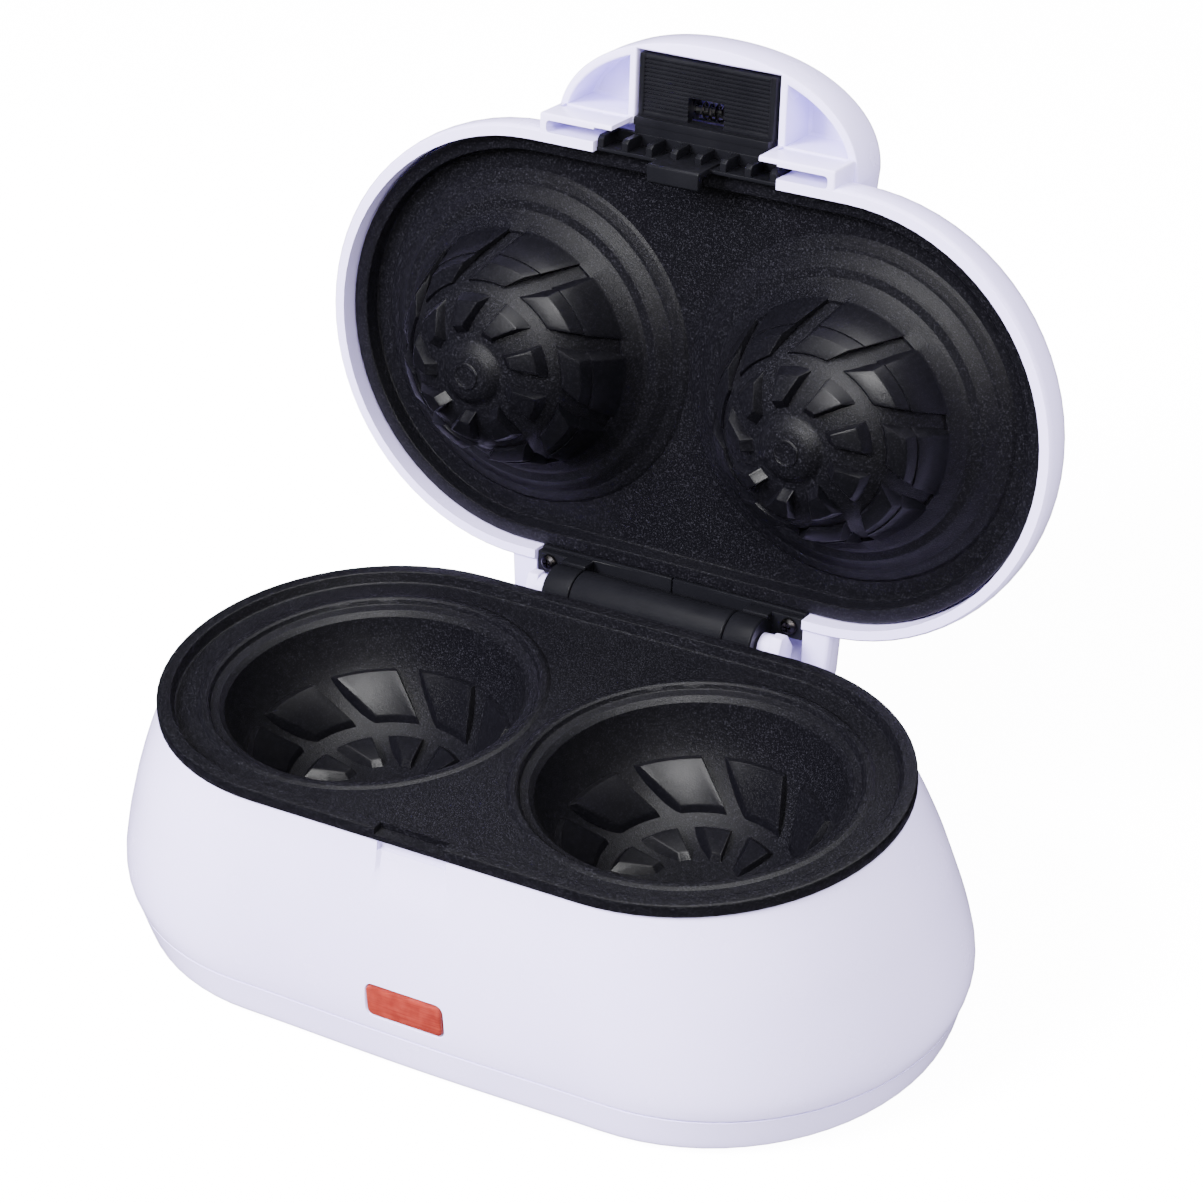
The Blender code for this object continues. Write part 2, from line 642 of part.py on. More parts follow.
POCKET_INNER = 0.0286
POCKET_BACK_Y = -0.0815
POCKET_Z = (0.0900, 0.1175)
POCKET_STEPS = 8
BAY = ((-0.0260, -0.1040, 0.0800), (0.0260, -0.0785, 0.1175))
SLOT = ((-0.0510, -0.0793, 0.0800), (0.0510, -0.0752, 0.0975))
GATE = ((-0.0332, -0.0800, 0.0800), (0.0332, -0.0690, 0.0975))
REAR_GATE = ((-0.0510, 0.0560, 0.0800), (0.0510, 0.0930, 0.0990))
SLOT_FRAME = ((-0.0535, -0.0815, 0.0871), (0.0535, -0.0640, 0.1030))
# Hinge hood, ring by ring: half-width and y at the front, at the back, heights of both
HOOD = (
    (0.0630, 0.0500, 0.0885, 0.0600, 0.0960, 0.0885),
    (0.0610, 0.0450, 0.1010, 0.0585, 0.0955, 0.1010),
    (0.0560, 0.0400, 0.1080, 0.0550, 0.0900, 0.1040),
)
HOLLOW_Z = (0.0850, 0.1012)
HOLLOW_FIRST = 3             # first ring of the shell that the hollow follows
HOLLOW_DROP = 0.6 * WALL

UPPER_STUD = (0.0990, 0.1100)
UPPER_STUD_BORE = (0.0990, 0.1180)

ARM = ((0.0300, 0.0722, 0.0850), (0.0395, 0.0840, 0.0917))
LUG = ((0.0300, 0.0722, 0.0885), (0.0506, 0.0800, 0.0917))
LUG_SCREW_SPOT = (0.0459, 0.0755)
LUG_HOLE = (0.0019, 0.0800, 0.1000)          # radius, from, to
LUG_SCREW_HEAD = (0.0028, 0.0866, 0.0882)
LUG_SCREW_SHANK = (0.0013, 0.0960)
KNUCKLE_BORE_END = 0.0500

GRIP = ((-0.0246, -0.1030, 0.1006), (0.0246, -0.0821, 0.1040))
LATCH_WALL = ((-0.0246, -0.0828, 0.0945), (0.0246, -0.0800, 0.1040))
COMB_BACK = ((-0.0326, -0.0775, 0.0945), (0.0326, -0.0722, 0.0965))
BRIDGE = ((-0.0240, -0.0815, 0.0945), (0.0240, -0.0760, 0.0965))
HUB = (0.0033, -0.0240, 0.0240)              # radius, from, to
HOOK_ARM = ((-0.0093, -0.0742, 0.0800), (0.0093, -0.0720, 0.0950))
HOOK_BARB = ((-0.0093, -0.0742, 0.0800), (0.0093, -0.0676, 0.0829))
FIN_COUNT = 8
FIN_SPREAD = 0.0315          # the outer fins stand at +X and -X of this
FIN_HALF = 0.0011
FIN_Y = (-0.0773, -0.0735)
FIN_Z = (0.0880, 0.0955)
CHEEK_X = (0.0215, 0.0240)
CHEEK_Y = (-0.0893, -0.0827)
CHEEK_Z = (0.1030, 0.1070)
SPRING_GAP = ((-0.0065, -0.0912, 0.0960), (0.0065, -0.0829, 0.1120))
LATCH_BORE_HALF = 0.0300
LATCH_PIN_HALF = 0.0279
LATCH_PIN_HOLE_HALF = 0.0282
SPRING_TURNS = 3.5
SPRING_STEPS = 30
SPRING_RADIUS = 0.0026
SPRING_WIRE = 0.00045
SPRING_HALF = 0.0042


# ---- Lid, drawn closed ----

def boss_curve(half, depth, x):
    """Front edge of the handle boss at x."""
    reach = max(0.0, 1 - (abs(x) / half) ** BOSS_POWER)
    return BOSS_ROOT_Y - depth * reach ** (1 / BOSS_POWER)


def boss_ring(height, shrink, slope):
    """D-shaped ring of the handle boss, rising towards the back by slope."""
    half = BOSS_HALF - shrink
    depth = BOSS_DEPTH - shrink
    points = []
    for i in range(BOSS_STEPS + 1):
        x = -half * math.cos(math.pi * i / BOSS_STEPS)
        y = boss_curve(half, depth, x)
        points.append((x, y, height + slope * (y - BOSS_ROOT_Y)))
    for side in (1, -1):
        points.append((side * half * BOSS_TAIL_SHARE, BOSS_ROOT_Y + BOSS_TAIL,
                       height + slope * BOSS_TAIL))
    return points


def pocket(name, side, group):
    """Quarter-round finger pocket beside the latch bay."""
    half = BOSS_HALF - BOSS_WALL
    depth = BOSS_DEPTH - BOSS_WALL
    share = 1 - ((BOSS_ROOT_Y - POCKET_BACK_Y) / depth) ** BOSS_POWER
    widest = half * share ** (1 / BOSS_POWER)
    outline = [(side * POCKET_INNER, POCKET_BACK_Y)]
    for i in range(POCKET_STEPS + 1):
        x = widest + (POCKET_INNER - widest) * i / POCKET_STEPS
        outline.append((side * x, boss_curve(half, depth, x)))
    return prism(name, outline, *POCKET_Z, group)


def hood_ring(front_half, front_y, front_z, back_half, back_y, back_z):
    """Four-cornered ring of the hinge hood."""
    return [(-front_half, front_y, front_z), (front_half, front_y, front_z),
            (back_half, back_y, back_z), (-back_half, back_y, back_z)]


def make_lid_cover(group):
    """White lid cover: crowned shell, handle boss, latch slot and hinge hood."""
    outer = [oval((length, width), height) for height, length, width in LID_SIDE]
    cover = loft("lid_cover", outer, group, WHITE_PLASTIC)
    join(cover, loft("handle_boss", [boss_ring(*ring) for ring in BOSS_RINGS], group),
         box("slot_frame", *SLOT_FRAME, group),
         loft("hinge_hood", [hood_ring(*ring) for ring in HOOD], group))
    hollow = [oval(LID_LIP_INNER, height) for height in HOLLOW_Z]
    hollow += [oval(inset((length, width), WALL), height - HOLLOW_DROP)
               for height, length, width in LID_SIDE[HOLLOW_FIRST:]]
    cut(cover, loft("lid_hollow", hollow, group))
    cut(cover, pocket("pocket_left", -1, group), pocket("pocket_right", 1, group),
        box("latch_bay", *BAY, group), box("latch_slot", *SLOT, group),
        box("latch_gate", *GATE, group), box("hinge_gate", *REAR_GATE, group))
    cut(cover, rod("latch_pin_hole", LATCH_PIN_RADIUS + GAP, -LATCH_PIN_HOLE_HALF,
                   LATCH_PIN_HOLE_HALF, (LATCH_Y, LATCH_Z), group, axis="X", steps=12))


def make_upper_plate(group):
    """Cast upper mould plate with its two hollow domes."""
    rim_inner = inset(UPPER_PLATE, RIM_WIDTH)
    rings = [oval(UPPER_PLATE, UPPER_BACK), oval(UPPER_PLATE, LID_PLANE),
             oval(rim_inner, LID_PLANE), oval(inset(rim_inner, RIM_SLOPE), UPPER_FLOOR)]
    plate = loft("upper_mould_plate", rings, group, NONSTICK)
    for side in (-1, 1):
        spot = (side * BOWL_X, 0.0)
        join(plate, turned(f"dome_{side}", DOME, group, spot))
        cut(plate, turned(f"dome_hollow_{side}", DOME_HOLLOW, group, spot))
    join(plate, rod("upper_stud", STUD_RADIUS, *UPPER_STUD, (0.0, 0.0), group, steps=12))
    cut(plate, rod("upper_stud_thread", STUD_BORE, *UPPER_STUD_BORE, (0.0, 0.0), group, steps=10))


def make_lid_heating(group):
    """Heater and reflector pan over the domes."""
    make_heater("upper_heating_element", *UPPER_HEATER, group)
    make_pan("upper_heat_shield", UPPER_PAN, UPPER_PAN_HOLE, group)
    screw("upper_shield_screw", UPPER_PAN_SCREW, UPPER_PAN_SHANK, (0.0, 0.0), group)


def mirrored_box(name, corners, side, group):
    """Block between two corners, on the +X or the -X side."""
    (x0, y0, z0), (x1, y1, z1) = corners
    return box(name, (side * x0, y0, z0), (side * x1, y1, z1), group)


def make_lid_knuckles(group):
    """Black knuckles that carry the lid on the hinge pin, and their screws."""
    for side, name in ((-1, "left"), (1, "right")):
        knuckle = rod(f"hinge_knuckle_{name}", BARREL_RADIUS, side * (BARREL_HALF + GAP),
                      side * KNUCKLE_END, (HINGE_Y, HINGE_Z), group, BLACK_PLASTIC, axis="X",
                      steps=28)
        join(knuckle, mirrored_box(f"knuckle_arm_{name}", ARM, side, group),
             mirrored_box(f"knuckle_lug_{name}", LUG, side, group))
        spot = (side * LUG_SCREW_SPOT[0], LUG_SCREW_SPOT[1])
        cut(knuckle, rod(f"knuckle_bore_{name}", PIN_RADIUS + GAP, 0.0, side * KNUCKLE_BORE_END,
                         (HINGE_Y, HINGE_Z), group, axis="X"),
            rod(f"lug_hole_{name}", *LUG_HOLE, spot, group, steps=12))
        screw(f"hinge_screw_{name}", LUG_SCREW_HEAD, LUG_SCREW_SHANK, spot, group, DARK_STEEL)


def make_latch(group):
    """Latch lever: grip, comb of fins and hook on a hub."""
    axis_spot = (LATCH_Y, LATCH_Z)
    grip = box("latch_lever", *GRIP, group, BLACK_PLASTIC)
    join(grip, box("latch_wall", *LATCH_WALL, group), box("latch_bridge", *BRIDGE, group),
         box("latch_comb_back", *COMB_BACK, group),
         rod("latch_hub", *HUB, axis_spot, group, axis="X", steps=14),
         box("hook_arm", *HOOK_ARM, group), box("hook_barb", *HOOK_BARB, group))
    for i in range(FIN_COUNT):
        x = FIN_SPREAD * (2 * i / (FIN_COUNT - 1) - 1)
        join(grip, box(f"latch_fin_{i}", (x - FIN_HALF, FIN_Y[0], FIN_Z[0]),
                       (x + FIN_HALF, FIN_Y[1], FIN_Z[1]), group))
    cheek = tuple(zip(CHEEK_X, CHEEK_Y, CHEEK_Z))
    for side in (-1, 1):
        join(grip, mirrored_box(f"latch_cheek_{side}", cheek, side, group))
    cut(grip, box("spring_gap", *SPRING_GAP, group),
        rod("latch_bore", LATCH_PIN_RADIUS + GAP, -LATCH_BORE_HALF, LATCH_BORE_HALF, axis_spot,
            group, axis="X", steps=12))


def make_latch_pin(group):
    """Pin and torsion spring of the latch, which stay with the lid."""
    rod("latch_pin", LATCH_PIN_RADIUS, -LATCH_PIN_HALF, LATCH_PIN_HALF, (LATCH_Y, LATCH_Z), group,
        BRIGHT_STEEL, axis="X", steps=12)
    coils = []
    for i in range(SPRING_STEPS + 1):
        share = i / SPRING_STEPS
        angle = 2 * math.pi * (SPRING_TURNS * share + 0.25)
        coils.append((SPRING_HALF * (2 * share - 1), LATCH_Y + SPRING_RADIUS * math.cos(angle),
                      LATCH_Z + SPRING_RADIUS * math.sin(angle)))
    swept_tube("latch_spring", coils, SPRING_WIRE, group, DARK_STEEL, sides=5)


def build():
    """Build the whole appliance."""
    clear_scene()
    root = empty("appliance", (0.0, -FOOTPRINT_MID_Y, 0.0))
    lid_frame = empty("lid_frame", (0.0, HINGE_Y, HINGE_Z), root, -OPEN_ANGLE)
    latch_frame = empty("latch_frame", (0.0, LATCH_Y - HINGE_Y, LATCH_Z - HINGE_Z), lid_frame)
    base = (root, (0.0, 0.0))
    lid = (lid_frame, (HINGE_Y, HINGE_Z))
    latch = (latch_frame, (LATCH_Y, LATCH_Z))
    make_housing(base)
    make_bottom_cover(base)
    make_feet(base)
    make_bottom_screws(base)
    make_lower_plate(base)
    make_base_heating(base)
    make_base_electrics(base)
    make_lamp(base)
    make_hinge_barrel(base)
    make_lid_cover(lid)
    make_upper_plate(lid)
    make_lid_heating(lid)
    make_lid_knuckles(lid)
    make_latch(latch)
    make_latch_pin(lid)


build()
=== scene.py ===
"""Looks of the double waffle-bowl maker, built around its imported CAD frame.

Outlines are in millimetres in two drawing frames: the base's, whose origin is the middle
of the lower mould plate at worktop height, and the lid's, which is the same frame while the
lid is closed. TO_BASE and TO_LID carry them to the row frame, which is in metres.
"""

import json
import math

import bmesh
import bpy
from mathutils import Matrix, Vector


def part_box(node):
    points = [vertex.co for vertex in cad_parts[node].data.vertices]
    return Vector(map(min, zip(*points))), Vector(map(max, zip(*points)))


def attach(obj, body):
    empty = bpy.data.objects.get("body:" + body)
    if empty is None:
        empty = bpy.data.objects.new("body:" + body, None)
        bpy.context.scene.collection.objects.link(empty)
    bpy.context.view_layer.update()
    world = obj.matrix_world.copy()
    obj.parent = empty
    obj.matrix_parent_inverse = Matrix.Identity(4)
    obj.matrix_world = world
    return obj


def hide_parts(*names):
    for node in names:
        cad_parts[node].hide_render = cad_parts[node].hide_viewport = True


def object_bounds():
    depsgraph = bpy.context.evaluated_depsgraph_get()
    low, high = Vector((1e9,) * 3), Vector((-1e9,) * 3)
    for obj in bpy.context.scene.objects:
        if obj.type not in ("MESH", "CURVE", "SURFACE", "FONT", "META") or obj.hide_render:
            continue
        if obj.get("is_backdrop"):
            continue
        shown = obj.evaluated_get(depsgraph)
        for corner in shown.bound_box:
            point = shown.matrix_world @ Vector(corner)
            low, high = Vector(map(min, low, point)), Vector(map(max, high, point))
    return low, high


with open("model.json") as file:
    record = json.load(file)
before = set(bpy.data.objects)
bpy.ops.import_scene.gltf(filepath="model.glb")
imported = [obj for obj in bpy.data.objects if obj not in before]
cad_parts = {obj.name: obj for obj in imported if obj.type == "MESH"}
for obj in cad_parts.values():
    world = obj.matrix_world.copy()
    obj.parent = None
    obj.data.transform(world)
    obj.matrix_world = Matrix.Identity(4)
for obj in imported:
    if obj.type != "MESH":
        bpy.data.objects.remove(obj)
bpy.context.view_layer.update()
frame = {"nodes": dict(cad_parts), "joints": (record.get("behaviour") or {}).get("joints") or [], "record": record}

MM = 0.001

# ---- Frame measurements ----

joints = {joint["name"]: joint for joint in frame["joints"]}
HINGE = Vector(joints["lid_hinge"]["pos_m"])
OPEN_ANGLE = math.radians(joints["lid_hinge"]["range_deg"][1])

plate_low, plate_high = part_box("lower_mould_plate")
TO_BASE = Matrix.Translation((0.0, (plate_low.y + plate_high.y) / 2, 0.0)) @ Matrix.Scale(MM, 4)
TO_LID = (Matrix.Translation(HINGE) @ Matrix.Rotation(-OPEN_ANGLE, 4, "X")
          @ Matrix.Translation(-HINGE) @ TO_BASE)
FROM_LID = TO_LID.inverted()


def drawn_box(node, to_row):
    """Lowest and highest corner of a CAD node in a drawing frame, in millimetres."""
    back = to_row.inverted()
    points = [back @ vert.co for vert in frame["nodes"][node].data.vertices]
    low = Vector(min(p[i] for p in points) for i in range(3))
    high = Vector(max(p[i] for p in points) for i in range(3))
    return low, high


low, high = drawn_box("lower_mould_plate", TO_BASE)
LOWER_SIZE = (high.x, high.y)
RIM_TOP = high.z
low, high = drawn_box("upper_mould_plate", TO_LID)
UPPER_SIZE = (high.x, high.y)
low, high = drawn_box("hinge_barrel", TO_BASE)
BARREL_HALF = high.x
hinge_local = TO_BASE.inverted() @ HINGE
HINGE_Y = hinge_local.y
HINGE_Z = hinge_local.z
HINGE_AXIS = (HINGE_Y, HINGE_Z)
latch_local = FROM_LID @ Vector(joints["latch_release"]["pos_m"])
LATCH_AXIS = (latch_local.y, latch_local.z)
lens_low, lens_high = drawn_box("indicator_lens", TO_BASE)
LENS_CENTRE = ((lens_low.x + lens_high.x) / 2, (lens_low.z + lens_high.z) / 2)
LENS_HALF = ((lens_high.x - lens_low.x) / 2, (lens_high.z - lens_low.z) / 2)

# ---- Drawing dimensions, millimetres ----

BOWL_SPOTS = ((-58.6, 0.0), (58.6, 0.0))     # axes of the bowls and of the domes
LOWER_FLOOR = 83.8
LID_PLANE = 92.1
UPPER_FLOOR = 97.5
UPPER_BACK = 100.8
WALL = 2.5
SEAM_Z = 15.4
SECTORS = 9     # grooves round each dome
ROUND = 108     # facets round a dome or a bowl

# Sides of the housing, the bottom cover and the lid: height, half-length, half-width
HOUSING_SIDE = (
    (15.7, 146.0, 77.5), (21.0, 147.6, 78.0), (28.0, 147.2, 78.0), (38.0, 144.9, 77.3),
    (48.0, 141.9, 76.0), (58.0, 138.7, 74.3), (68.0, 134.8, 72.2), (76.0, 131.3, 70.3),
    (83.0, 128.0, 68.9),
)
TRAY_SIDE = (
    (2.0, 139.8, 74.2), (3.5, 141.8, 76.0), (8.0, 143.5, 76.7), (15.4, 145.7, 77.4),
)
LID_SIDE = (
    (87.1, 133.0, 75.5), (92.1, 133.6, 76.0), (99.0, 132.6, 75.0), (106.0, 128.5, 71.5),
    (113.0, 121.5, 65.5), (119.5, 111.0, 57.0), (125.0, 95.0, 45.5), (129.5, 72.0, 30.0),
    (131.8, 45.0, 14.0),
)
LID_LIP_INNER = (129.2, 71.8)
BULGE_DROP = 55.0     # the housing's sides are fully crowned this far below the top


# ---- Outline helpers ----

def fillet(points, radius, steps=4):
    """Polyline with its inner corners rounded; radius is one number or one for each corner."""
    made = [points[0]]
    for i in range(1, len(points) - 1):
        r = radius if isinstance(radius, (int, float)) else radius[i - 1]
        before = Vector(points[i - 1])
        corner = Vector(points[i])
        after = Vector(points[i + 1])
        to_before = before - corner
        to_after = after - corner
        half = to_before.angle(to_after) / 2
        reach = r / math.tan(half) if half < math.pi / 2 - 0.01 else 0.0
        reach = min(reach, 0.45 * to_before.length, 0.45 * to_after.length)
        if reach < 1e-5:
            made.append(points[i])
            continue
        start = corner + to_before.normalized() * reach
        end = corner + to_after.normalized() * reach
        for step in range(steps + 1):
            t = step / steps
            made.append(tuple(start * (1 - t) ** 2 + corner * (2 * t * (1 - t)) + end * t * t))
    made.append(points[-1])
    return made


def smooth_curve(points, per_span):
    """Catmull-Rom curve through points, which are tuples of any one length."""
    ends = [points[0]] + list(points) + [points[-1]]
    made = []
    for i in range(1, len(ends) - 2):
        a, b, c, d = ends[i - 1:i + 3]
        for step in range(per_span):
            t = step / per_span
            made.append(tuple(
                0.5 * (2 * q + (r - p) * t + (2 * p - 5 * q + 4 * r - s) * t ** 2
                       + (3 * q - p - 3 * r + s) * t ** 3)
                for p, q, r, s in zip(a, b, c, d)))
    made.append(points[-1])
    return made


def smoothstep(low_edge, high_edge, value):
    """Soft step from 0 to 1."""
    t = min(1.0, max(0.0, (value - low_edge) / (high_edge - low_edge)))
    return t * t * (3 - 2 * t)


def oval(size, height, bulge=0.0, arc=36, straight=24):
    """Points round an oval of half-round ends with crowned long sides."""
    half_length, half_width = size
    run = half_length - half_width
    points = []
    for side in (1, -1):
        for step in range(arc + 1):
            angle = math.radians(-90 + 180 * step / arc)
            points.append((side * (run + half_width * math.cos(angle)),
                           side * half_width * math.sin(angle), height))
        for step in range(1, straight):
            share = 1 - 2 * step / straight
            crown = bulge * (1 - share * share) ** 2
            points.append((side * share * run, side * (half_width + crown), height))
    return points


def grown(size, amount):
    """Oval size made larger by the same amount all round."""
    return (size[0] + amount, size[1] + amount)


def sided(end, values):
    """X positions drawn on the +X side, or mirrored where end is -1."""
    return [end * value for value in values]


# ---- Mesh helpers ----

def to_object(name, work, place, angle=32):
    """Object from a bmesh drawn in millimetres, with its mesh in the row frame."""
    bmesh.ops.transform(work, matrix=place, verts=work.verts)
    bmesh.ops.recalc_face_normals(work, faces=work.faces)
    mesh = bpy.data.meshes.new(name)
    work.to_mesh(mesh)
    work.free()
    mesh.shade_smooth()
    mesh.set_sharp_from_angle(angle=math.radians(angle))
    made = bpy.data.objects.new(name, mesh)
    bpy.context.scene.collection.objects.link(made)
    return made


def loft(name, rings, place, closed_loop=False, angle=32):
    """Skin equal rings of points into an object, with flat caps unless it is a loop."""
    work = bmesh.new()
    layers = [[work.verts.new(point) for point in ring] for ring in rings]
    pairs = list(zip(layers, layers[1:]))
    if closed_loop:
        pairs.append((layers[-1], layers[0]))
    count = len(layers[0])
    for one, two in pairs:
        for i in range(count):
            j = (i + 1) % count
            work.faces.new((one[i], one[j], two[j], two[i]))
    if not closed_loop:
        work.faces.new(reversed(layers[0]))
        work.faces.new(layers[-1])
    return to_object(name, work, place, angle)


def turned(name, outline, place, centre, axis="Z", steps=ROUND, closed_loop=False):
    """Turn an outline of (radius, position along the axis) pairs about an axis."""
    def spot(radius, along, turn):
        u = centre[0] + radius * math.cos(turn)
        v = centre[1] + radius * math.sin(turn)
        return {"Z": (u, v, along), "X": (along, u, v), "Y": (u, along, v)}[axis]

    work = bmesh.new()
    layers = []
    for radius, along in outline:
        if radius < 1e-6:
            layers.append([work.verts.new(spot(0.0, along, 0.0))])
        else:
            layers.append([work.verts.new(spot(radius, along, 2 * math.pi * i / steps))
                           for i in range(steps)])
    pairs = list(zip(layers, layers[1:]))
    if closed_loop:
        pairs.append((layers[-1], layers[0]))
    for one, two in pairs:
        for i in range(steps):
            j = (i + 1) % steps
            if len(one) == 1:
                work.faces.new((one[0], two[j], two[i]))
            elif len(two) == 1:
                work.faces.new((one[i], one[j], two[0]))
            else:
                work.faces.new((one[i], one[j], two[j], two[i]))
    if not closed_loop:
        for ring in (layers[0], layers[-1]):
            if len(ring) > 1:
                work.faces.new(ring)
    return to_object(name, work, place)


def prism(name, outline, start, end, place, angle=32):
    """Straight extrusion along X of an outline of (y, z) points."""
    rings = [[(x, y, z) for y, z in outline] for x in (start, end)]
    return loft(name, rings, place, angle=angle)


def block(name, low_corner, high_corner, place, bevel=0.0):
    """Rectangular block between two corners, its edges rounded by bevel."""
    work = bmesh.new()
    bmesh.ops.create_cube(work, size=1.0)
    for vert in work.verts:
        for i in range(3):
            vert.co[i] = low_corner[i] if vert.co[i] < 0 else high_corner[i]
    if bevel:
        bmesh.ops.bevel(work, geom=list(work.edges), offset=bevel, segments=3, profile=0.5,
                        affect="EDGES", clamp_overlap=True)
    return to_object(name, work, place, 40)


def bar(name, place, half, low_side, high_side, bevel):
    """Block across the middle plane, between two corners given as (y, z)."""
    return block(name, (-half, *low_side), (half, *high_side), place, bevel)


def side_block(name, place, end, near, far, bevel):
    """Block between two corners drawn on the +X side, or its mirror image where end is -1."""
    low_x, high_x = sorted(sided(end, (near[0], far[0])))
    return block(name, (low_x, *near[1:]), (high_x, *far[1:]), place, bevel)


def rod(name, radius, start, end, centre, place, axis="Z", steps=48, chamfer=0.0):
    """Cylinder, with chamfers where they are asked for."""
    way = 1 if end > start else -1
    outline = ((radius, start), (radius, end))
    if chamfer:
        outline = ((radius - chamfer, start), (radius, start + way * chamfer),
                   (radius, end - way * chamfer), (radius - chamfer, end))
    return turned(name, outline, place, centre, axis, steps)


def bake(obj, angle=32):
    """Replace an object's mesh with its evaluated one, its modifiers applied."""
    graph = bpy.context.evaluated_depsgraph_get()
    mesh = bpy.data.meshes.new_from_object(obj.evaluated_get(graph))
    obj.modifiers.clear()
    obj.data = mesh
    mesh.shade_smooth()
    mesh.set_sharp_from_angle(angle=math.radians(angle))
    return obj


def combine(target, tools, operation, angle):
    """Boolean tools into a target one after another, then remove them."""
    for tool in tools:
        step = target.modifiers.new(tool.name, "BOOLEAN")
        step.operation = operation
        step.solver = "EXACT"
        step.object = tool
    bake(target, angle)
    for tool in tools:
        bpy.data.objects.remove(tool, do_unlink=True)


def join(target, *tools, angle=32):
    """Fuse tools onto a target."""
    combine(target, tools, "UNION", angle)


def cut(target, *tools, angle=32):
    """Cut tools out of a target."""
    combine(target, tools, "DIFFERENCE", angle)


def rounded(obj, width, segments=3):
    """Round an object's edges by a width in millimetres."""
    step = obj.modifiers.new("round", "BEVEL")
    step.width = width * MM
    step.segments = segments
    step.limit_method = "ANGLE"
    return bake(obj)


def weld(obj, distance=0.001):
    """Merge vertices that lie within a distance in millimetres of each other."""
    work = bmesh.new()
    work.from_mesh(obj.data)
    bmesh.ops.remove_doubles(work, verts=work.verts, dist=distance * MM)
    work.to_mesh(obj.data)
    work.free()


def finish_piece(obj, body, slot, *nodes):
    """Give a piece its finish, let it ride on a body and stand for its CAD nodes."""
    weld(obj)
    if not obj.data.materials:
        obj.data.materials.append(SLOT_MATERIAL[slot])
    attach(obj, body)
    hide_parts(*nodes)


# ---- Materials ----

def new_material(name, colour, roughness, settings):
    """Principled material with fixed inputs; gives it, its shader and object coordinates."""
    made = bpy.data.materials.new(name)
    made.use_nodes = True
    shader = made.node_tree.nodes["Principled BSDF"]
    shader.inputs["Base Color"].default_value = (*colour, 1.0)
    shader.inputs["Roughness"].default_value = roughness
    for key, value in settings.items():
        shader.inputs[key].default_value = value
    made.diffuse_color = (*colour, 1.0)
    return made, shader, made.node_tree.nodes.new("ShaderNodeTexCoord").outputs["Object"]


def node_after(socket, kind):
    """New node in the tree of a socket, and that tree's links."""
    tree = socket.id_data
    return tree.nodes.new(kind), tree.links


def noise(where, scale, detail=2.0, roughness=0.5):
    """Noise whose spots are about 1/scale metres wide."""
    node, links = node_after(where, "ShaderNodeTexNoise")
    node.inputs["Scale"].default_value = scale
    node.inputs["Detail"].default_value = detail
    node.inputs["Roughness"].default_value = roughness
    links.new(where, node.inputs["Vector"])
    return node.outputs["Fac"]


def stretched(where, scale):
    """Object coordinates scaled along each axis."""
    node, links = node_after(where, "ShaderNodeMapping")
    node.inputs["Scale"].default_value = scale
    links.new(where, node.inputs["Vector"])
    return node.outputs["Vector"]


def remap(value, low_out, high_out, low_in=0.3, high_in=0.7):
    """Map a value, usually a noise, from one range to another, held inside it."""
    node, links = node_after(value, "ShaderNodeMapRange")
    for name, number in (("From Min", low_in), ("From Max", high_in), ("To Min", low_out),
                         ("To Max", high_out)):
        node.inputs[name].default_value = number
    links.new(value, node.inputs["Value"])
    return node.outputs["Result"]


def merged(operation, one, two):
    """Sum or product of two values."""
    node, links = node_after(one, "ShaderNodeMath")
    node.operation = operation
    links.new(one, node.inputs[0])
    links.new(two, node.inputs[1])
    return node.outputs[0]


def colour_mix(share, one, two):
    """Mix of two colours by a share."""
    node, links = node_after(share, "ShaderNodeMix")
    node.data_type = "RGBA"
    node.inputs[6].default_value = (*one, 1.0)
    node.inputs[7].default_value = (*two, 1.0)
    links.new(share, node.inputs[0])
    return node.outputs[2]


def add_bump(shader, *heights):
    """Stack bumps of (height, strength, distance in metres) under the shader."""
    normal = None
    for height, strength, distance in heights:
        node, links = node_after(height, "ShaderNodeBump")
        node.inputs["Strength"].default_value = strength
        node.inputs["Distance"].default_value = distance
        links.new(height, node.inputs["Height"])
        if normal:
            links.new(normal, node.inputs["Normal"])
        normal = node.outputs["Normal"]
    links.new(normal, shader.inputs["Normal"])


def drive(shader, tint, rough=None):
    """Link a colour, and a roughness if there is one, to the shader."""
    links = shader.id_data.links
    links.new(tint, shader.inputs["Base Color"])
    if rough:
        links.new(rough, shader.inputs["Roughness"])


def white_plastic():
    """Gloss moulded plastic with a lavender cast and a faint orange peel."""
    made, shader, where = new_material("white_gloss", (0.64, 0.57, 0.96), 0.24, {
        "Coat Weight": 0.25, "Coat Roughness": 0.08, "Subsurface Weight": 0.06,
        "Subsurface Radius": (1.0, 0.9, 1.1), "Subsurface Scale": 0.003})
    cloud = noise(where, 14.0, 2.0)
    tint = colour_mix(remap(cloud, 0.0, 1.0, 0.35, 0.65), (0.62, 0.550, 0.94),
                      (0.66, 0.592, 0.98))
    smear = noise(where, 60.0, 4.0)
    drive(shader, tint, remap(smear, 0.19, 0.29))
    add_bump(shader, (noise(where, 420.0, 1.0), 0.06, 0.0004),
             (noise(where, 5200.0, 2.0), 0.04, 0.00005))
    return made


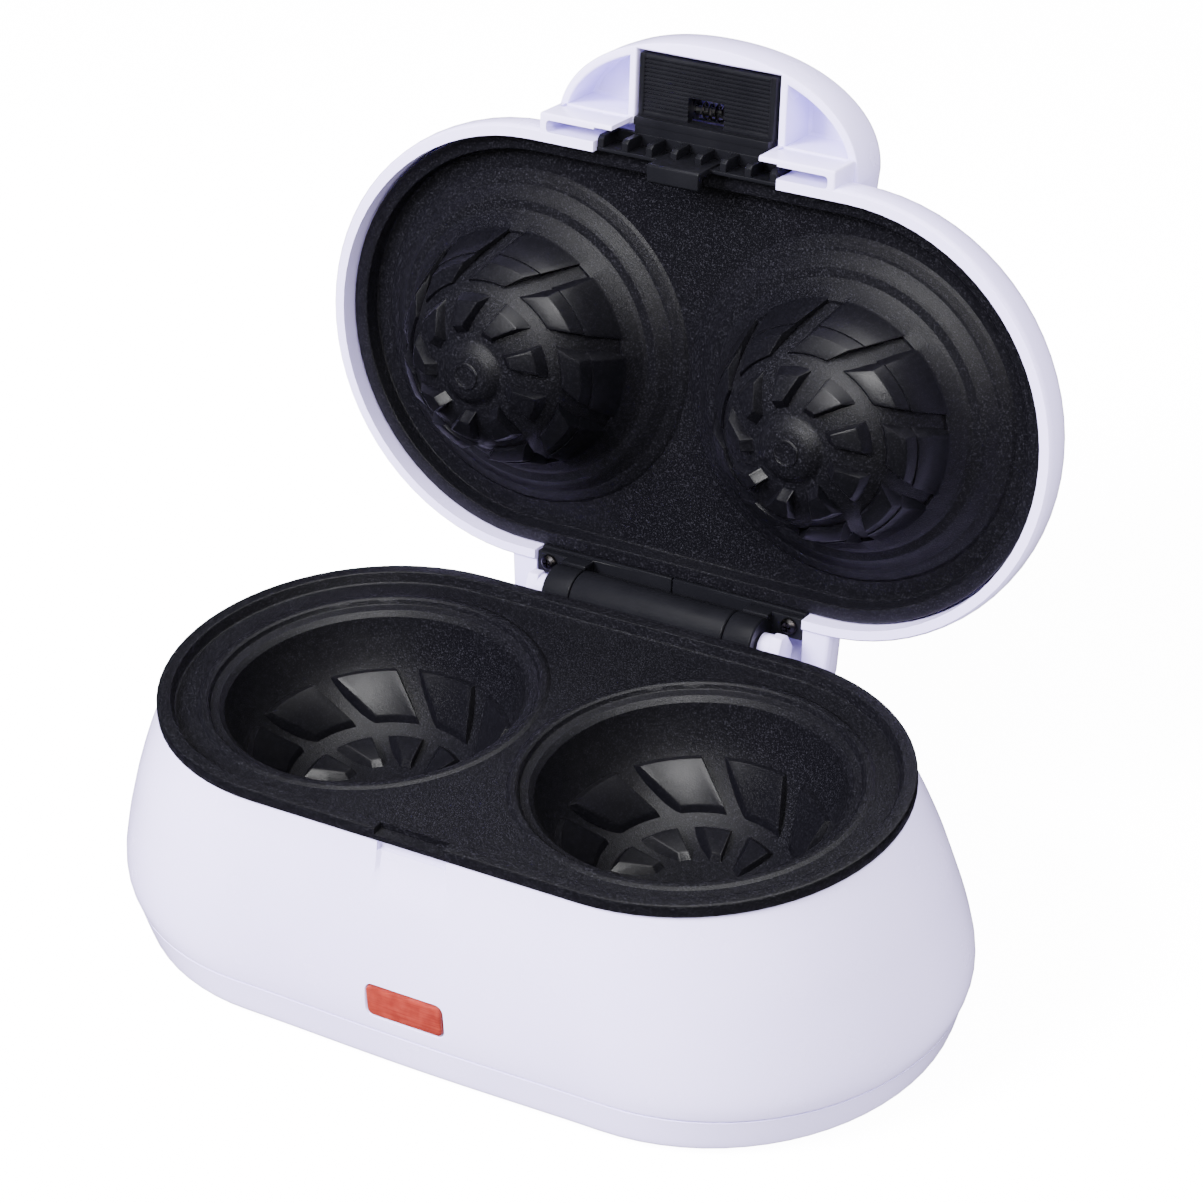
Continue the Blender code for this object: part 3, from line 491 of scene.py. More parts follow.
def nonstick(name, sparkle, gloss, relief):
    """Black non-stick coating: fine speckle, uneven gloss between two roughnesses and grain."""
    made, shader, where = new_material(name, (0.0025, 0.0024, 0.0036), 0.4,
                                       {"Specular IOR Level": 0.24})
    grain = noise(where, 1900.0, 3.0, 0.65)
    flecks = remap(grain, 0.0, 1.0, 0.54, 0.68)
    cloud = noise(where, 45.0, 3.0)
    base = colour_mix(flecks, (0.0020, 0.0019, 0.0030), sparkle)
    rough = merged("ADD", remap(cloud, *gloss), remap(grain, 0.0, 0.10))
    drive(shader, base, rough)
    add_bump(shader, (grain, relief, 0.0002), (noise(where, 600.0, 2.0), 0.08, 0.0003))
    return made


def black_plastic():
    """Satin black heat-resistant plastic with a fine spark-eroded grain."""
    made, shader, where = new_material("black_satin", (0.004, 0.004, 0.0055), 0.36,
                                       {"Specular IOR Level": 0.18})
    cloud = noise(where, 90.0, 3.0)
    tint = colour_mix(cloud, (0.003, 0.003, 0.0042), (0.005, 0.005, 0.0068))
    drive(shader, tint, remap(cloud, 0.30, 0.44))
    add_bump(shader, (noise(where, 4200.0, 2.0), 0.22, 0.0001))
    return made


def lens_plastic():
    """Translucent red-orange lens with moulded flutes behind its face."""
    made, shader, where = new_material("lens_red_orange", (0.5, 0.012, 0.006), 0.2, {
        "Specular IOR Level": 0.2, "Subsurface Weight": 0.2,
        "Subsurface Radius": (1.0, 0.25, 0.12), "Subsurface Scale": 0.004})
    streaks = noise(stretched(where, (70.0, 60.0, 1500.0)), 1.0, 2.0)
    blotch = noise(where, 260.0, 2.0)
    mixed = merged("MULTIPLY", streaks, blotch)
    tint = colour_mix(remap(mixed, 0.0, 1.0, 0.15, 0.36), (0.14, 0.016, 0.012),
                      (0.20, 0.026, 0.019))
    drive(shader, tint)
    add_bump(shader, (streaks, 0.15, 0.0003))
    return made


def steel():
    """Plated steel with fine drawn streaks."""
    made, shader, where = new_material("plated_steel", (0.60, 0.60, 0.62), 0.26, {"Metallic": 1.0})
    streaks = noise(stretched(where, (60.0, 1600.0, 1600.0)), 1.0, 3.0)
    tint = colour_mix(streaks, (0.50, 0.50, 0.53), (0.68, 0.68, 0.69))
    drive(shader, tint, remap(streaks, 0.18, 0.38))
    add_bump(shader, (streaks, 0.08, 0.00005))
    return made


def dark_steel():
    """Blackened steel with worn, streaky patches."""
    made, shader, where = new_material("blackened_steel", (0.05, 0.05, 0.055), 0.36,
                                       {"Metallic": 1.0})
    wear = noise(where, 700.0, 4.0)
    tint = colour_mix(remap(wear, 0.0, 1.0, 0.55, 0.75), (0.035, 0.033, 0.035),
                      (0.16, 0.14, 0.13))
    drive(shader, tint, remap(wear, 0.28, 0.5))
    add_bump(shader, (wear, 0.12, 0.00005))
    return made


def aluminium():
    """Pressed aluminium sheet with rolling marks."""
    made, shader, where = new_material("pressed_aluminium", (0.58, 0.59, 0.60), 0.42,
                                       {"Metallic": 1.0})
    marks = noise(stretched(where, (30.0, 900.0, 900.0)), 1.0, 4.0)
    tint = colour_mix(noise(where, 50.0, 3.0), (0.50, 0.51, 0.52), (0.64, 0.65, 0.66))
    drive(shader, tint, remap(marks, 0.34, 0.54))
    add_bump(shader, (marks, 0.10, 0.00008))
    return made


def rubber():
    """Matt grey rubber."""
    made, shader, where = new_material("rubber_foot", (0.045, 0.045, 0.05), 0.8, {})
    tint = colour_mix(noise(where, 500.0, 3.0), (0.035, 0.035, 0.04), (0.06, 0.06, 0.065))
    drive(shader, tint, remap(noise(where, 180.0, 2.0), 0.7, 0.9))
    add_bump(shader, (noise(where, 3800.0, 2.0), 0.3, 0.0001))
    return made


def cream_plastic():
    """Cream heat-resistant moulding compound."""
    made, shader, where = new_material("cream_compound", (0.66, 0.62, 0.52), 0.5, {})
    cloud = noise(where, 300.0, 4.0)
    tint = colour_mix(cloud, (0.60, 0.56, 0.46), (0.72, 0.68, 0.58))
    drive(shader, tint, remap(cloud, 0.42, 0.6))
    add_bump(shader, (noise(where, 2600.0, 2.0), 0.15, 0.0001))
    return made


def lamp_glass():
    """Clear lamp glass with an orange gas tint."""
    made, shader, where = new_material("lamp_glass_clear", (0.95, 0.70, 0.55), 0.05,
                                       {"Transmission Weight": 0.8, "IOR": 1.5})
    tint = colour_mix(noise(where, 400.0, 2.0), (0.95, 0.62, 0.45), (1.0, 0.82, 0.70))
    drive(shader, tint, remap(noise(where, 700.0, 2.0), 0.02, 0.10))
    return made


SPECKLED = nonstick("nonstick_black", (0.015, 0.0145, 0.020), (0.34, 0.42), 0.8)
# Smooth coat for the pads: its lower roughness and lighter grain relief are its finish, but its flecks are dimmer
# than the speckled coat's, painted shade that darkens the pads.
SMOOTH_SHADED = nonstick("nonstick_smooth_shaded", (0.008, 0.0078, 0.011), (0.27, 0.35), 0.2)
SLOT_MATERIAL = {
    "white_plastic": white_plastic(), "nonstick_black": SPECKLED, "black_plastic": black_plastic(),
    "lens_red": lens_plastic(), "bright_steel": steel(), "dark_steel": dark_steel(),
    "dull_aluminium": aluminium(), "rubber_grey": rubber(), "cream_plastic": cream_plastic(),
    "lamp_glass": lamp_glass(),
}


# ---- Base ----

HINGE_BORE = 2.8
LATCH_BORE = 1.8
HOOK_HALF = 12.5     # half-width of the hook's relief and notch
TOP_ROUND = ((0.45, 0.02), (0.2, 0.14), (0.0, 0.45))     # top edge: drop, how far inward
SEAM_ROUND = 0.35
EDGE_INSET = 0.6     # the sides draw in by this at the seam and at the lid's lower edge
TRAY_FLOOR = 4.5
RELIEF_DEPTH = 1.1
RELIEF_FADE = (63.0, 76.0)     # heights where the relief starts and where it is full

# Pocket for the barb under the rim, and notch: half-length, two corners as (y, z), edge radius
HOOK_POCKET = (HOOK_HALF, (-80.0, 79.3), (-67.2, 90.0), 0.4)
HOOK_NOTCH = (HOOK_HALF, (-72.0, 85.4), (-66.0, 90.0), 0.25)
POST_ROOT = ((73.0, 56.0), (73.0, 72.0))
POST_RADIUS = 4.4
POST_X = (40.3, 44.6)
GUSSET_X = (44.3, 48.5)
SOCKET_X = (30.0, 46.7)
GUSSET = ((73.0, 56.0), (73.0, 76.0), (79.6, 86.4), (83.6, 85.9), (87.0, 80.0), (84.5, 74.5),
          (78.0, 56.0))
GLAND_CENTRE = (0.0, 27.0)
GLAND_HOLE = 6.2
GLAND_RIBS = 5
GLAND_RIB_Y = 84.0
GLAND_RIB_PITCH = 2.3
GLAND_RIB_RADIUS = 6.0
GLAND_RIB_TAPER = 0.28
GLAND_FLANGE = ((3.6, 73.8), (5.8, 73.8), (5.8, 79.5), (8.2, 80.0), (8.6, 80.4), (8.6, 81.9),
                (8.2, 82.4), (6.2, 83.1))
GLAND_TIP = ((4.6, 96.0), (4.2, 96.3), (3.6, 96.3))
LENS_CORNER = 2.0

# Window round the lens, from outside in: y, how much larger than the lens
WINDOW = ((-90.0, 2.2), (-79.0, 0.9), (-78.55, 0.55), (-78.2, 0.35), (-70.0, 0.3))
SCREW_WELLS = (62.0, 70.6)     # x and y of the wells for the bottom screws, in all four corners
WELL_RADIUS = 3.6
FOOT_SPOT = (78.0, 62.0)     # x and y of the feet, in all four corners
FOOT_OUTLINE = ((0.0, 0.5), (2.4, 0.5), (2.8, 0.0), (6.6, 0.0), (7.5, 0.7), (7.3, 1.7), (2.4, 1.7),
                (2.4, 6.6), (1.6, 7.8), (0.0, 7.8))


def housing_bulge(height):
    """Crown of the housing's long sides: none at the top edge, full at the belly."""
    return min(1.0, max(0.0, (HOUSING_SIDE[-1][0] - height) / BULGE_DROP))


def lens_ring(y, grow, radius, steps=6):
    """Round-cornered outline of the lens at a depth, larger by grow all round."""
    half_x = LENS_HALF[0] + grow
    half_z = LENS_HALF[1] + grow
    points = []
    for quarter, (su, sv) in enumerate(((1, 1), (-1, 1), (-1, -1), (1, -1))):
        for step in range(steps + 1):
            angle = math.radians(90 * quarter + 90 * step / steps)
            points.append((LENS_CENTRE[0] + su * (half_x - radius) + radius * math.cos(angle), y,
                           LENS_CENTRE[1] + sv * (half_z - radius) + radius * math.sin(angle)))
    return points


def with_relief(ring):
    """Sink the front wall under the hook notch, fading out downwards."""
    made = []
    for x, y, z in ring:
        if y < 0 and abs(x) < HOOK_HALF + 1:
            side = 1 - smoothstep(HOOK_HALF - 1.0, HOOK_HALF, abs(x))
            y += RELIEF_DEPTH * side * smoothstep(*RELIEF_FADE, z)
        made.append((x, y, z))
    return made


def make_housing():
    """White base housing with its hook relief, lamp window and hinge posts."""
    side = smooth_curve(HOUSING_SIDE, 5)
    outer = []
    for z, length, width in side[:-1]:
        outer.append(with_relief(oval((length, width), z, housing_bulge(z), straight=96)))
    length, width = side[-1][1:]
    for drop, inward in TOP_ROUND:
        z = side[-1][0] - drop
        outer.append(with_relief(oval((length - inward, width - inward), z, straight=96)))
    inner = [oval(grown((length, width), -WALL), z, housing_bulge(z), straight=96)
             for z, length, width in side[::-3]]
    low_z, low_length, low_width = side[0]
    outer[0] = [(x, y, low_z + SEAM_ROUND) for x, y, z in outer[0]]
    lip = [oval(grown((low_length, low_width), -EDGE_INSET), low_z, 1.0, straight=96)]
    housing = loft("housing_shell", lip + outer + inner, TO_BASE, closed_loop=True)
    outline = list(POST_ROOT)
    for step in range(21):
        angle = math.radians(150 - 200 * step / 20)
        outline.append((HINGE_Y + POST_RADIUS * math.cos(angle),
                        HINGE_Z + POST_RADIUS * math.sin(angle)))
    posts = []
    for end in (-1, 1):
        posts.append(prism("stub", outline, *sided(end, POST_X), TO_BASE))
        posts.append(rounded(prism("gusset", GUSSET, *sided(end, GUSSET_X), TO_BASE), 0.5))
    join(housing, *posts)
    window = loft("window", [lens_ring(y, grow, 2.2 + grow) for y, grow in WINDOW], TO_BASE)
    gland_hole = rod("gland_hole", GLAND_HOLE, 68.0, 90.0, GLAND_CENTRE, TO_BASE, "Y")
    sockets = [rod("socket", HINGE_BORE, *sided(end, SOCKET_X), HINGE_AXIS, TO_BASE, "X", 32)
               for end in (-1, 1)]
    hook_pocket = bar("hook_pocket", TO_BASE, *HOOK_POCKET)
    cut(housing, window, gland_hole, hook_pocket, *sockets)
    finish_piece(housing, "base", "white_plastic", "base_housing")


def make_tray():
    """White bottom cover under the seam."""
    side = smooth_curve(TRAY_SIDE, 4)
    outer = [oval((length, width), z, housing_bulge(z)) for z, length, width in side]
    rim = TRAY_SIDE[-1][1:]
    top = [oval(rim, SEAM_Z - 0.3, 1.0), oval(grown(rim, -EDGE_INSET), SEAM_Z, 1.0),
           oval(grown(rim, -WALL), SEAM_Z, 1.0)]
    floor = [oval(grown(TRAY_SIDE[1][1:], -WALL), TRAY_FLOOR)]
    tray = loft("bottom_tray", outer[:-1] + top + floor, TO_BASE)
    wells = []
    for end in (-1, 1):
        for row in (-1, 1):
            spot = (end * SCREW_WELLS[0], row * SCREW_WELLS[1])
            wells.append(rod("well", WELL_RADIUS, 0.0, 6.0, spot, TO_BASE, steps=32))
    cut(tray, *wells)
    finish_piece(tray, "base", "white_plastic", "base_bottom_cover")


def make_feet():
    """Rubber feet with a ring groove in the tread."""
    outline = fillet(FOOT_OUTLINE, 0.3, 3)
    for end, x in (("left", -FOOT_SPOT[0]), ("right", FOOT_SPOT[0])):
        for row, y in (("front", -FOOT_SPOT[1]), ("rear", FOOT_SPOT[1])):
            foot = turned(f"foot_{row}_{end}", outline, TO_BASE, (x, y), steps=48)
            finish_piece(foot, "base", "rubber_grey", f"rubber_foot_{row}_{end}")


# ---- Moulds ----

# Groove centre round a dome: radius, angle in degrees
SWIRL = ((9.0, 308.0), (13.6, 311.3), (19.0, 316.0), (25.0, 322.4), (28.6, 328.4),
         (33.7, 338.3), (37.0, 343.5), (41.0, 349.0), (50.0, 355.0))

# Groove floor of a dome, from its pole: radius, height
DOME_FLOOR = ((0.0, 52.75), (3.0, 52.75), (3.7, 52.45), (4.3, 52.45), (4.7, 52.9), (6.6, 53.3),
              (8.6, 54.3), (10.0, 55.7), (11.2, 56.8), (12.8, 57.2), (16.5, 58.3), (21.0, 60.4),
              (25.3, 62.9), (28.6, 66.0), (31.2, 69.8), (33.8, 74.4), (36.4, 79.8), (38.2, 83.6),
              (39.3, 85.9))
# Skirt round a dome, from the flare to the plate's floor
DOME_SKIRT = ((40.4, 85.5), (44.8, 90.6), (46.0, 91.5), (49.0, 91.9), (50.2, 92.6), (52.2, 94.2),
              (53.6, 95.3), (54.6, 95.5), (57.2, 96.6), (58.4, 97.6), (60.0, 98.4))
# Hollow behind a dome, from the plate's back to the pole
DOME_HOLLOW = ((48.0, 102.0), (46.0, 96.5), (40.0, 92.5), (37.2, 87.0), (35.0, 79.0), (30.5, 70.5),
               (23.5, 64.5), (16.0, 59.2), (8.0, 57.5), (0.0, 56.5))
DOME_BACK = 99.6     # a dome is joined to the plate up to here

# Pad tiers: inner and outer edge as (radius, height, millimetres from the groove's middle)
PAD_TIERS = (
    {"foot": ((13.4, 57.6, 2.1), (25.6, 63.4, 2.45)), "top": ((16.8, 54.3, 3.9), (23.9, 58.6, 4.2))},
    {"foot": ((28.4, 66.2, 2.6), (36.3, 74.6, 3.6)), "top": ((29.3, 64.9, 3.5), (34.3, 68.5, 5.0))},
    {"foot": ((34.0, 74.2, 2.9), (41.4, 87.4, 2.4)), "top": ((36.3, 72.9, 4.2), (40.7, 85.2, 3.4))},
)
PAD_ROUND = 0.42
PAD_CORNER = math.radians(20)     # edges of a pad that are sharper than this are rounded


def swirl_at(radius):
    """Angle of a groove's middle at a radius."""
    for (r0, a0), (r1, a1) in zip(SWIRL, SWIRL[1:]):
        if radius <= r1:
            share = max(0.0, (radius - r0) / (r1 - r0))
            return a0 + (a1 - a0) * share
    return SWIRL[-1][1]


def pad_edge(edge, sector, columns, sink, top):
    """Points along a pad's edge, from groove to groove, sunk away from its top edge."""
    radius, height, margin = edge
    radius += (radius - top[0]) * sink
    height += (height - top[1]) * sink
    inset_angle = math.degrees(margin / radius)
    pitch = 360.0 / SECTORS
    start = swirl_at(radius) + sector * pitch + inset_angle
    end = swirl_at(radius) + (sector + 1) * pitch - inset_angle
    points = []
    for i in range(columns + 1):
        angle = math.radians(start + (end - start) * i / columns)
        points.append((radius * math.cos(angle), radius * math.sin(angle), height))
    return points


def make_pads(name, tiers, centre, place, sink=0.35, columns=8):
    """All the pads of one dome or cavity as one object, their feet sunk by a share of depth."""
    whole = bmesh.new()
    for tier in tiers:
        for sector in range(SECTORS):
            work = bmesh.new()
            foot_in, foot_out = tier["foot"]
            top_in, top_out = tier["top"]
            grid = []
            for edge_in, edge_out, amount in ((foot_in, foot_out, sink), (top_in, top_out, 0.0)):
                inner = pad_edge(edge_in, sector, columns, amount, top_in)
                outer = pad_edge(edge_out, sector, columns, amount, top_out)
                middle = [tuple((a + b) / 2 for a, b in zip(p, q)) for p, q in zip(inner, outer)]
                grid.append([[work.verts.new(p) for p in row] for row in (inner, middle, outer)])
            for layer in grid:
                for row, next_row in zip(layer, layer[1:]):
                    for i in range(columns):
                        work.faces.new((row[i], row[i + 1], next_row[i + 1], next_row[i]))
            foot, top = grid
            for i in range(columns):
                for k in (0, 2):
                    work.faces.new((foot[k][i], foot[k][i + 1], top[k][i + 1], top[k][i]))
            for k in (0, 1):
                for i in (0, columns):
                    work.faces.new((foot[k][i], foot[k + 1][i], top[k + 1][i], top[k][i]))
            bmesh.ops.recalc_face_normals(work, faces=work.faces)
            top_verts = {vert for row in top for vert in row}
            edges = [edge for edge in work.edges if edge.calc_face_angle(0.0) > PAD_CORNER
                     and any(vert in top_verts for vert in edge.verts)]
            bmesh.ops.bevel(work, geom=edges, offset=PAD_ROUND, segments=2, profile=0.6,
                            affect="EDGES", clamp_overlap=True)
            bmesh.ops.recalc_face_normals(work, faces=work.faces)
            part = bpy.data.meshes.new("pad")
            work.to_mesh(part)
            work.free()
            whole.from_mesh(part)
            bpy.data.meshes.remove(part)
    bmesh.ops.translate(whole, vec=(centre[0], centre[1], 0.0), verts=whole.verts)
    return to_object(name, whole, place)


def coat(obj, index=0):
    """Give a casting both coatings, and all its faces the speckled (0) or the smooth one (1); the smooth one's
    dimmer flecks are painted shade.
    """
    for finish in (SPECKLED, SMOOTH_SHADED):
        obj.data.materials.append(finish)
    for face in obj.data.polygons:
        face.material_index = index
    return obj


def make_upper_plate():
    """Upper mould plate: rimmed oval casting with two swirled domes."""
    profile = fillet(((0.0, UPPER_BACK), (0.0, LID_PLANE), (-5.0, LID_PLANE), (-5.9, UPPER_FLOOR),
                      (-9.0, UPPER_FLOOR)), (0.7, 0.6, 0.8), 4)
    rings = [oval(grown(UPPER_SIZE, offset), z) for offset, z in profile]
    plate = coat(loft("upper_mould", rings, TO_LID))
    outline = smooth_curve(DOME_FLOOR[:-1], 2) + [DOME_FLOOR[-1]] + fillet(DOME_SKIRT, 0.55, 3)
    outline += [(DOME_SKIRT[-1][0], DOME_BACK), (0.0, DOME_BACK)]
    join(plate, *(coat(turned("dome", outline, TO_LID, spot)) for spot in BOWL_SPOTS))
    cut(plate, *(coat(turned("hollow", DOME_HOLLOW, TO_LID, spot)) for spot in BOWL_SPOTS))
    # The domes' pads take the smooth coat, whose dimmer flecks paint them in shade.
    join(plate, *(coat(make_pads("pads", PAD_TIERS, spot, TO_LID), 1) for spot in BOWL_SPOTS),
         angle=28)
    finish_piece(plate, "lid", "nonstick_black", "upper_mould_plate")


# Casting round a bowl, the rounded crest at its edge and the cavity: radius, height
BOWL_OUTSIDE = ((0.0, 39.8), (14.0, 39.9), (24.0, 40.6), (32.0, 43.9), (41.0, 52.5), (48.0, 64.0),
                (51.5, 74.0), (52.5, 82.0))
BOWL_CREST = ((52.0, 82.0), (57.6, 82.0), (57.6, 83.6), (56.0, 84.5), (54.4, 84.5), (53.2, 83.6),
              (52.0, 82.0))
CAVITY_MOUTH = ((53.9, 92.0), (53.9, 84.6), (53.1, 82.4), (50.4, 81.9), (48.8, 80.2))
CAVITY_FLOOR = ((0.0, 43.2), (11.0, 43.4), (20.0, 44.4), (28.0, 47.4), (36.5, 54.0), (43.6, 64.0),
                (47.4, 74.0), (48.8, 80.2))
CAVITY_PADS = (
    {"foot": ((13.0, 42.6, 2.2), (27.6, 46.4, 2.6)), "top": ((15.4, 45.7, 3.6), (25.0, 48.4, 3.9))},
    {"foot": ((31.0, 48.6, 2.7), (44.4, 63.2, 3.2)), "top": ((31.6, 52.1, 4.0), (41.2, 63.6, 4.2))},
)


def make_lower_plate():
    """Lower mould plate: rimmed oval casting with two bowl cavities."""
    profile = fillet(((-4.2, 79.0), (-4.2, 83.4), (0.0, 83.4), (0.0, RIM_TOP), (-4.6, RIM_TOP),
                      (-5.6, LOWER_FLOOR), (-8.0, LOWER_FLOOR)), (0.3, 0.35, 0.9, 0.6, 0.9), 4)
    rings = [oval(grown(LOWER_SIZE, offset), z) for offset, z in profile]
    plate = coat(loft("lower_mould", rings, TO_BASE))
    outside = smooth_curve(BOWL_OUTSIDE, 3)
    crest = fillet(BOWL_CREST, (0.0, 0.5, 0.8, 0.5, 0.5), 3)[:-1]
    inside = fillet(CAVITY_MOUTH, (0.0, 0.5, 0.6), 3)[:-1] + smooth_curve(CAVITY_FLOOR, 4)[::-1]
    bowls, crests, cavities, pads = [], [], [], []
    for spot in BOWL_SPOTS:
        bowls.append(coat(turned("bowl", outside, TO_BASE, spot)))
        crests.append(coat(turned("crest", crest, TO_BASE, spot, closed_loop=True)))
        cavities.append(coat(turned("cavity", inside, TO_BASE, spot)))
        pads.append(coat(make_pads("pads", CAVITY_PADS, spot, TO_BASE, sink=0.25), 1))
    join(plate, *bowls, *crests)
    cut(plate, *cavities)
    # The cavities' pads take the smooth coat, whose dimmer flecks paint them in shade.
    join(plate, *pads, angle=28)
    cut(plate, bar("notch", TO_BASE, *HOOK_NOTCH), angle=28)
    finish_piece(plate, "base", "nonstick_black", "lower_mould_plate")


# ---- Hinge ----

TUBE_RADIUS = 9.0     # outside of the barrel and of both knuckles
WEB_HALF = 27.5
WEB_OUTLINE = ((75.1, 62.0), (73.1, 68.0), (71.2, 76.0), (74.5, 81.0), (86.0, 78.0), (82.0, 70.0),
               (77.5, 62.0))
KNUCKLE_GAP = 0.3
KNUCKLE_END = 39.7
BARREL_BORE = 40.0     # the bores' cutters reach this far along X
KNUCKLE_BORE = 50.0
LUG_SCREW = (45.9, 75.5)
LUG_HOLE = 1.9
SCREW_RADIUS = 2.8
SCREW_CROWN = 86.3
SCREW_SEAT = 88.2
SCREW_TIP = 96.0
SHANK_RADIUS = 1.3
RECESS_HALF = 0.28     # half-width of a bar of the cross recess

# Blocks of a knuckle: two corners on the +X side, edge radius. The leaf is behind the barrel.
KNUCKLE_BLOCKS = {
    "arm": ((30.0, 72.2, 85.0), (39.5, 84.0, 91.7), 0.6),
    "lug": ((30.0, 72.2, 88.5), (50.6, 80.0, 91.7), 0.5),
    "leaf": ((0.2, 71.3, 91.2), (50.3, 79.0, 94.0), 0.4),
}


def make_hinge():
    """Fixed barrel, and the lid's knuckles with their screw lugs."""
    end_radius = TUBE_RADIUS - 0.5
    outline = fillet(((HINGE_BORE, -BARREL_HALF), (end_radius, -BARREL_HALF),
                      (TUBE_RADIUS, -BARREL_HALF + 0.5), (TUBE_RADIUS, BARREL_HALF - 0.5),
                      (end_radius, BARREL_HALF), (HINGE_BORE, BARREL_HALF)), 0.3, 2)
    barrel = turned("hinge_tube", outline, TO_BASE, HINGE_AXIS, "X", 72, closed_loop=True)
    web = prism("barrel_web", WEB_OUTLINE, -WEB_HALF, WEB_HALF, TO_BASE)
    bore = rod("bore", HINGE_BORE, -BARREL_BORE, BARREL_BORE, HINGE_AXIS, TO_BASE, "X")
    join(barrel, web)
    cut(barrel, bore)
    finish_piece(barrel, "base", "black_plastic", "hinge_barrel")
    for end, name in ((-1, "left"), (1, "right")):
        start = BARREL_HALF + KNUCKLE_GAP
        outline = fillet(((HINGE_BORE, start), (8.6, start), (TUBE_RADIUS, start + 0.4),
                          (TUBE_RADIUS, 39.2), (8.4, KNUCKLE_END), (HINGE_BORE, KNUCKLE_END)), 0.3, 2)
        outline = [(radius, end * along) for radius, along in outline]
        knuckle = turned(f"knuckle_{name}", outline, TO_LID, HINGE_AXIS, "X", 72, closed_loop=True)
        join(knuckle, *(side_block(part, TO_LID, end, *shape)
                        for part, shape in KNUCKLE_BLOCKS.items()))
        bore = rod("bore", HINGE_BORE, 0.0, end * KNUCKLE_BORE, HINGE_AXIS, TO_LID, "X")
        spot = (end * LUG_SCREW[0], LUG_SCREW[1])
        hole = rod("lug_hole", LUG_HOLE, 80.0, 100.0, spot, TO_LID)
        cut(knuckle, bore, hole)
        finish_piece(knuckle, "lid", "black_plastic", f"hinge_knuckle_{name}")
        make_screw(name, spot)


def make_screw(side, spot):
    """Pan-head screw of a lug, whose head points down, with a cross recess."""
    radius = SCREW_RADIUS
    outline = fillet(((0.0, SCREW_CROWN), (radius * 0.6, SCREW_CROWN),
                      (radius, SCREW_CROWN + 0.6 * (SCREW_SEAT - SCREW_CROWN)), (radius, SCREW_SEAT),
                      (SHANK_RADIUS, SCREW_SEAT), (SHANK_RADIUS, SCREW_TIP - 1.0), (0.0, SCREW_TIP)),
                     (0.4, 0.3, 0.1, 0.0, 0.0), 3)
    screw = turned(f"lug_screw_{side}", outline, TO_LID, spot, steps=40)
    arm = radius * 0.55
    bars = [block("recess", (spot[0] - u, spot[1] - v, SCREW_CROWN - 1.0),
                  (spot[0] + u, spot[1] + v, SCREW_CROWN + 0.9), TO_LID)
            for u, v in ((arm, RECESS_HALF), (RECESS_HALF, arm))]
    cut(screw, *bars)
    finish_piece(screw, "lid", "dark_steel", f"hinge_screw_{side}")


# ---- Lid cover ----

BOSS_ROOT_Y = -74.0
BOSS_HALF = 55.0
BOSS_DEPTH = 34.7
BOSS_RUN = 46.0     # how far the boss reaches into the crown, where it fades out
BOSS_POWER = 2.15
BOSS_UNDERSIDE = 100.8
BAY_HALF = 26.0
BAY_FRONT = -104.0
BAY_BACK = -78.5
POCKET_INNER = 28.6
POCKET_BACK = -81.42
POCKET_WALL = 3.0
POCKET_TOP = 117.5
MOUTH_ROUND = 0.7     # rounding at the mouth of the pockets and of the bay
MOUTH_OFFSET = 0.03     # keeps the cutters' first ring off the underside's plane
CREST_HALF = (24.0, 5.0)
CREST_Z = 132.4
HOLLOW_Z = (85.0, 101.2)     # straight part of the lid's hollow, up to where it follows the crown
CROWN_FROM = 14     # first point of the smoothed LID_SIDE that the hollow follows

# Rings of the boss above its underside: height, how far inside the outline, slope
BOSS_RINGS = (
    (BOSS_UNDERSIDE, 0.8, 0.0), (BOSS_UNDERSIDE + 0.25, 0.25, 0.0), (BOSS_UNDERSIDE + 0.8, 0.0, 0.0),
    (110.0, 0.0, 0.0), (116.0, 0.4, 0.0), (118.6, 1.0, 0.03), (120.8, 2.0, 0.05),
    (122.6, 3.6, 0.08), (123.8, 5.8, 0.10), (124.4, 8.6, 0.11),
)
# Rings of the hood over the hinge: front and back edge as (half-length, y, height)
HOOD_RINGS = (
    ((63.0, 50.0, 88.5), (60.0, 96.0, 88.5)), ((61.0, 45.0, 101.0), (58.5, 95.5, 101.0)),
    ((56.0, 40.0, 108.0), (55.0, 90.0, 104.0)),
)
# Blocks across the middle: half-length, two corners as (y, z), edge radius
SLOT_FRAME = (53.5, (-81.5, 87.2), (-64.0, 103.0), 0.7)
LID_OPENINGS = {
    "slot": (51.0, (-79.3, 80.0), (-75.2, 110.0), 1.3),
    "gate": (33.2, (-80.0, 80.0), (-69.0, 100.0), 0.0),
    "rear_gate": (51.0, (56.0, 80.0), (93.0, 99.0), 0.0),
}


def boss_curve(half, depth, x):
    """Front edge of the handle boss at x."""
    reach = max(0.0, 1 - (abs(x) / half) ** BOSS_POWER)
    return BOSS_ROOT_Y - depth * reach ** (1 / BOSS_POWER)


def boss_ring(height, shrink, slope, steps=56):
    """D-shaped ring of the handle boss, rising towards the back by slope."""
    half = BOSS_HALF - shrink
    depth = BOSS_DEPTH - shrink
    points = []
    for i in range(steps + 1):
        angle = math.pi * i / steps
        x = -half * math.cos(angle)
        y = boss_curve(half, depth, x)
        points.append((x, y, height + slope * (y - BOSS_ROOT_Y)))
    back = (BOSS_ROOT_Y + BOSS_RUN, height + slope * BOSS_RUN)
    return points + [(half * 0.9, *back), (-half * 0.9, *back)]


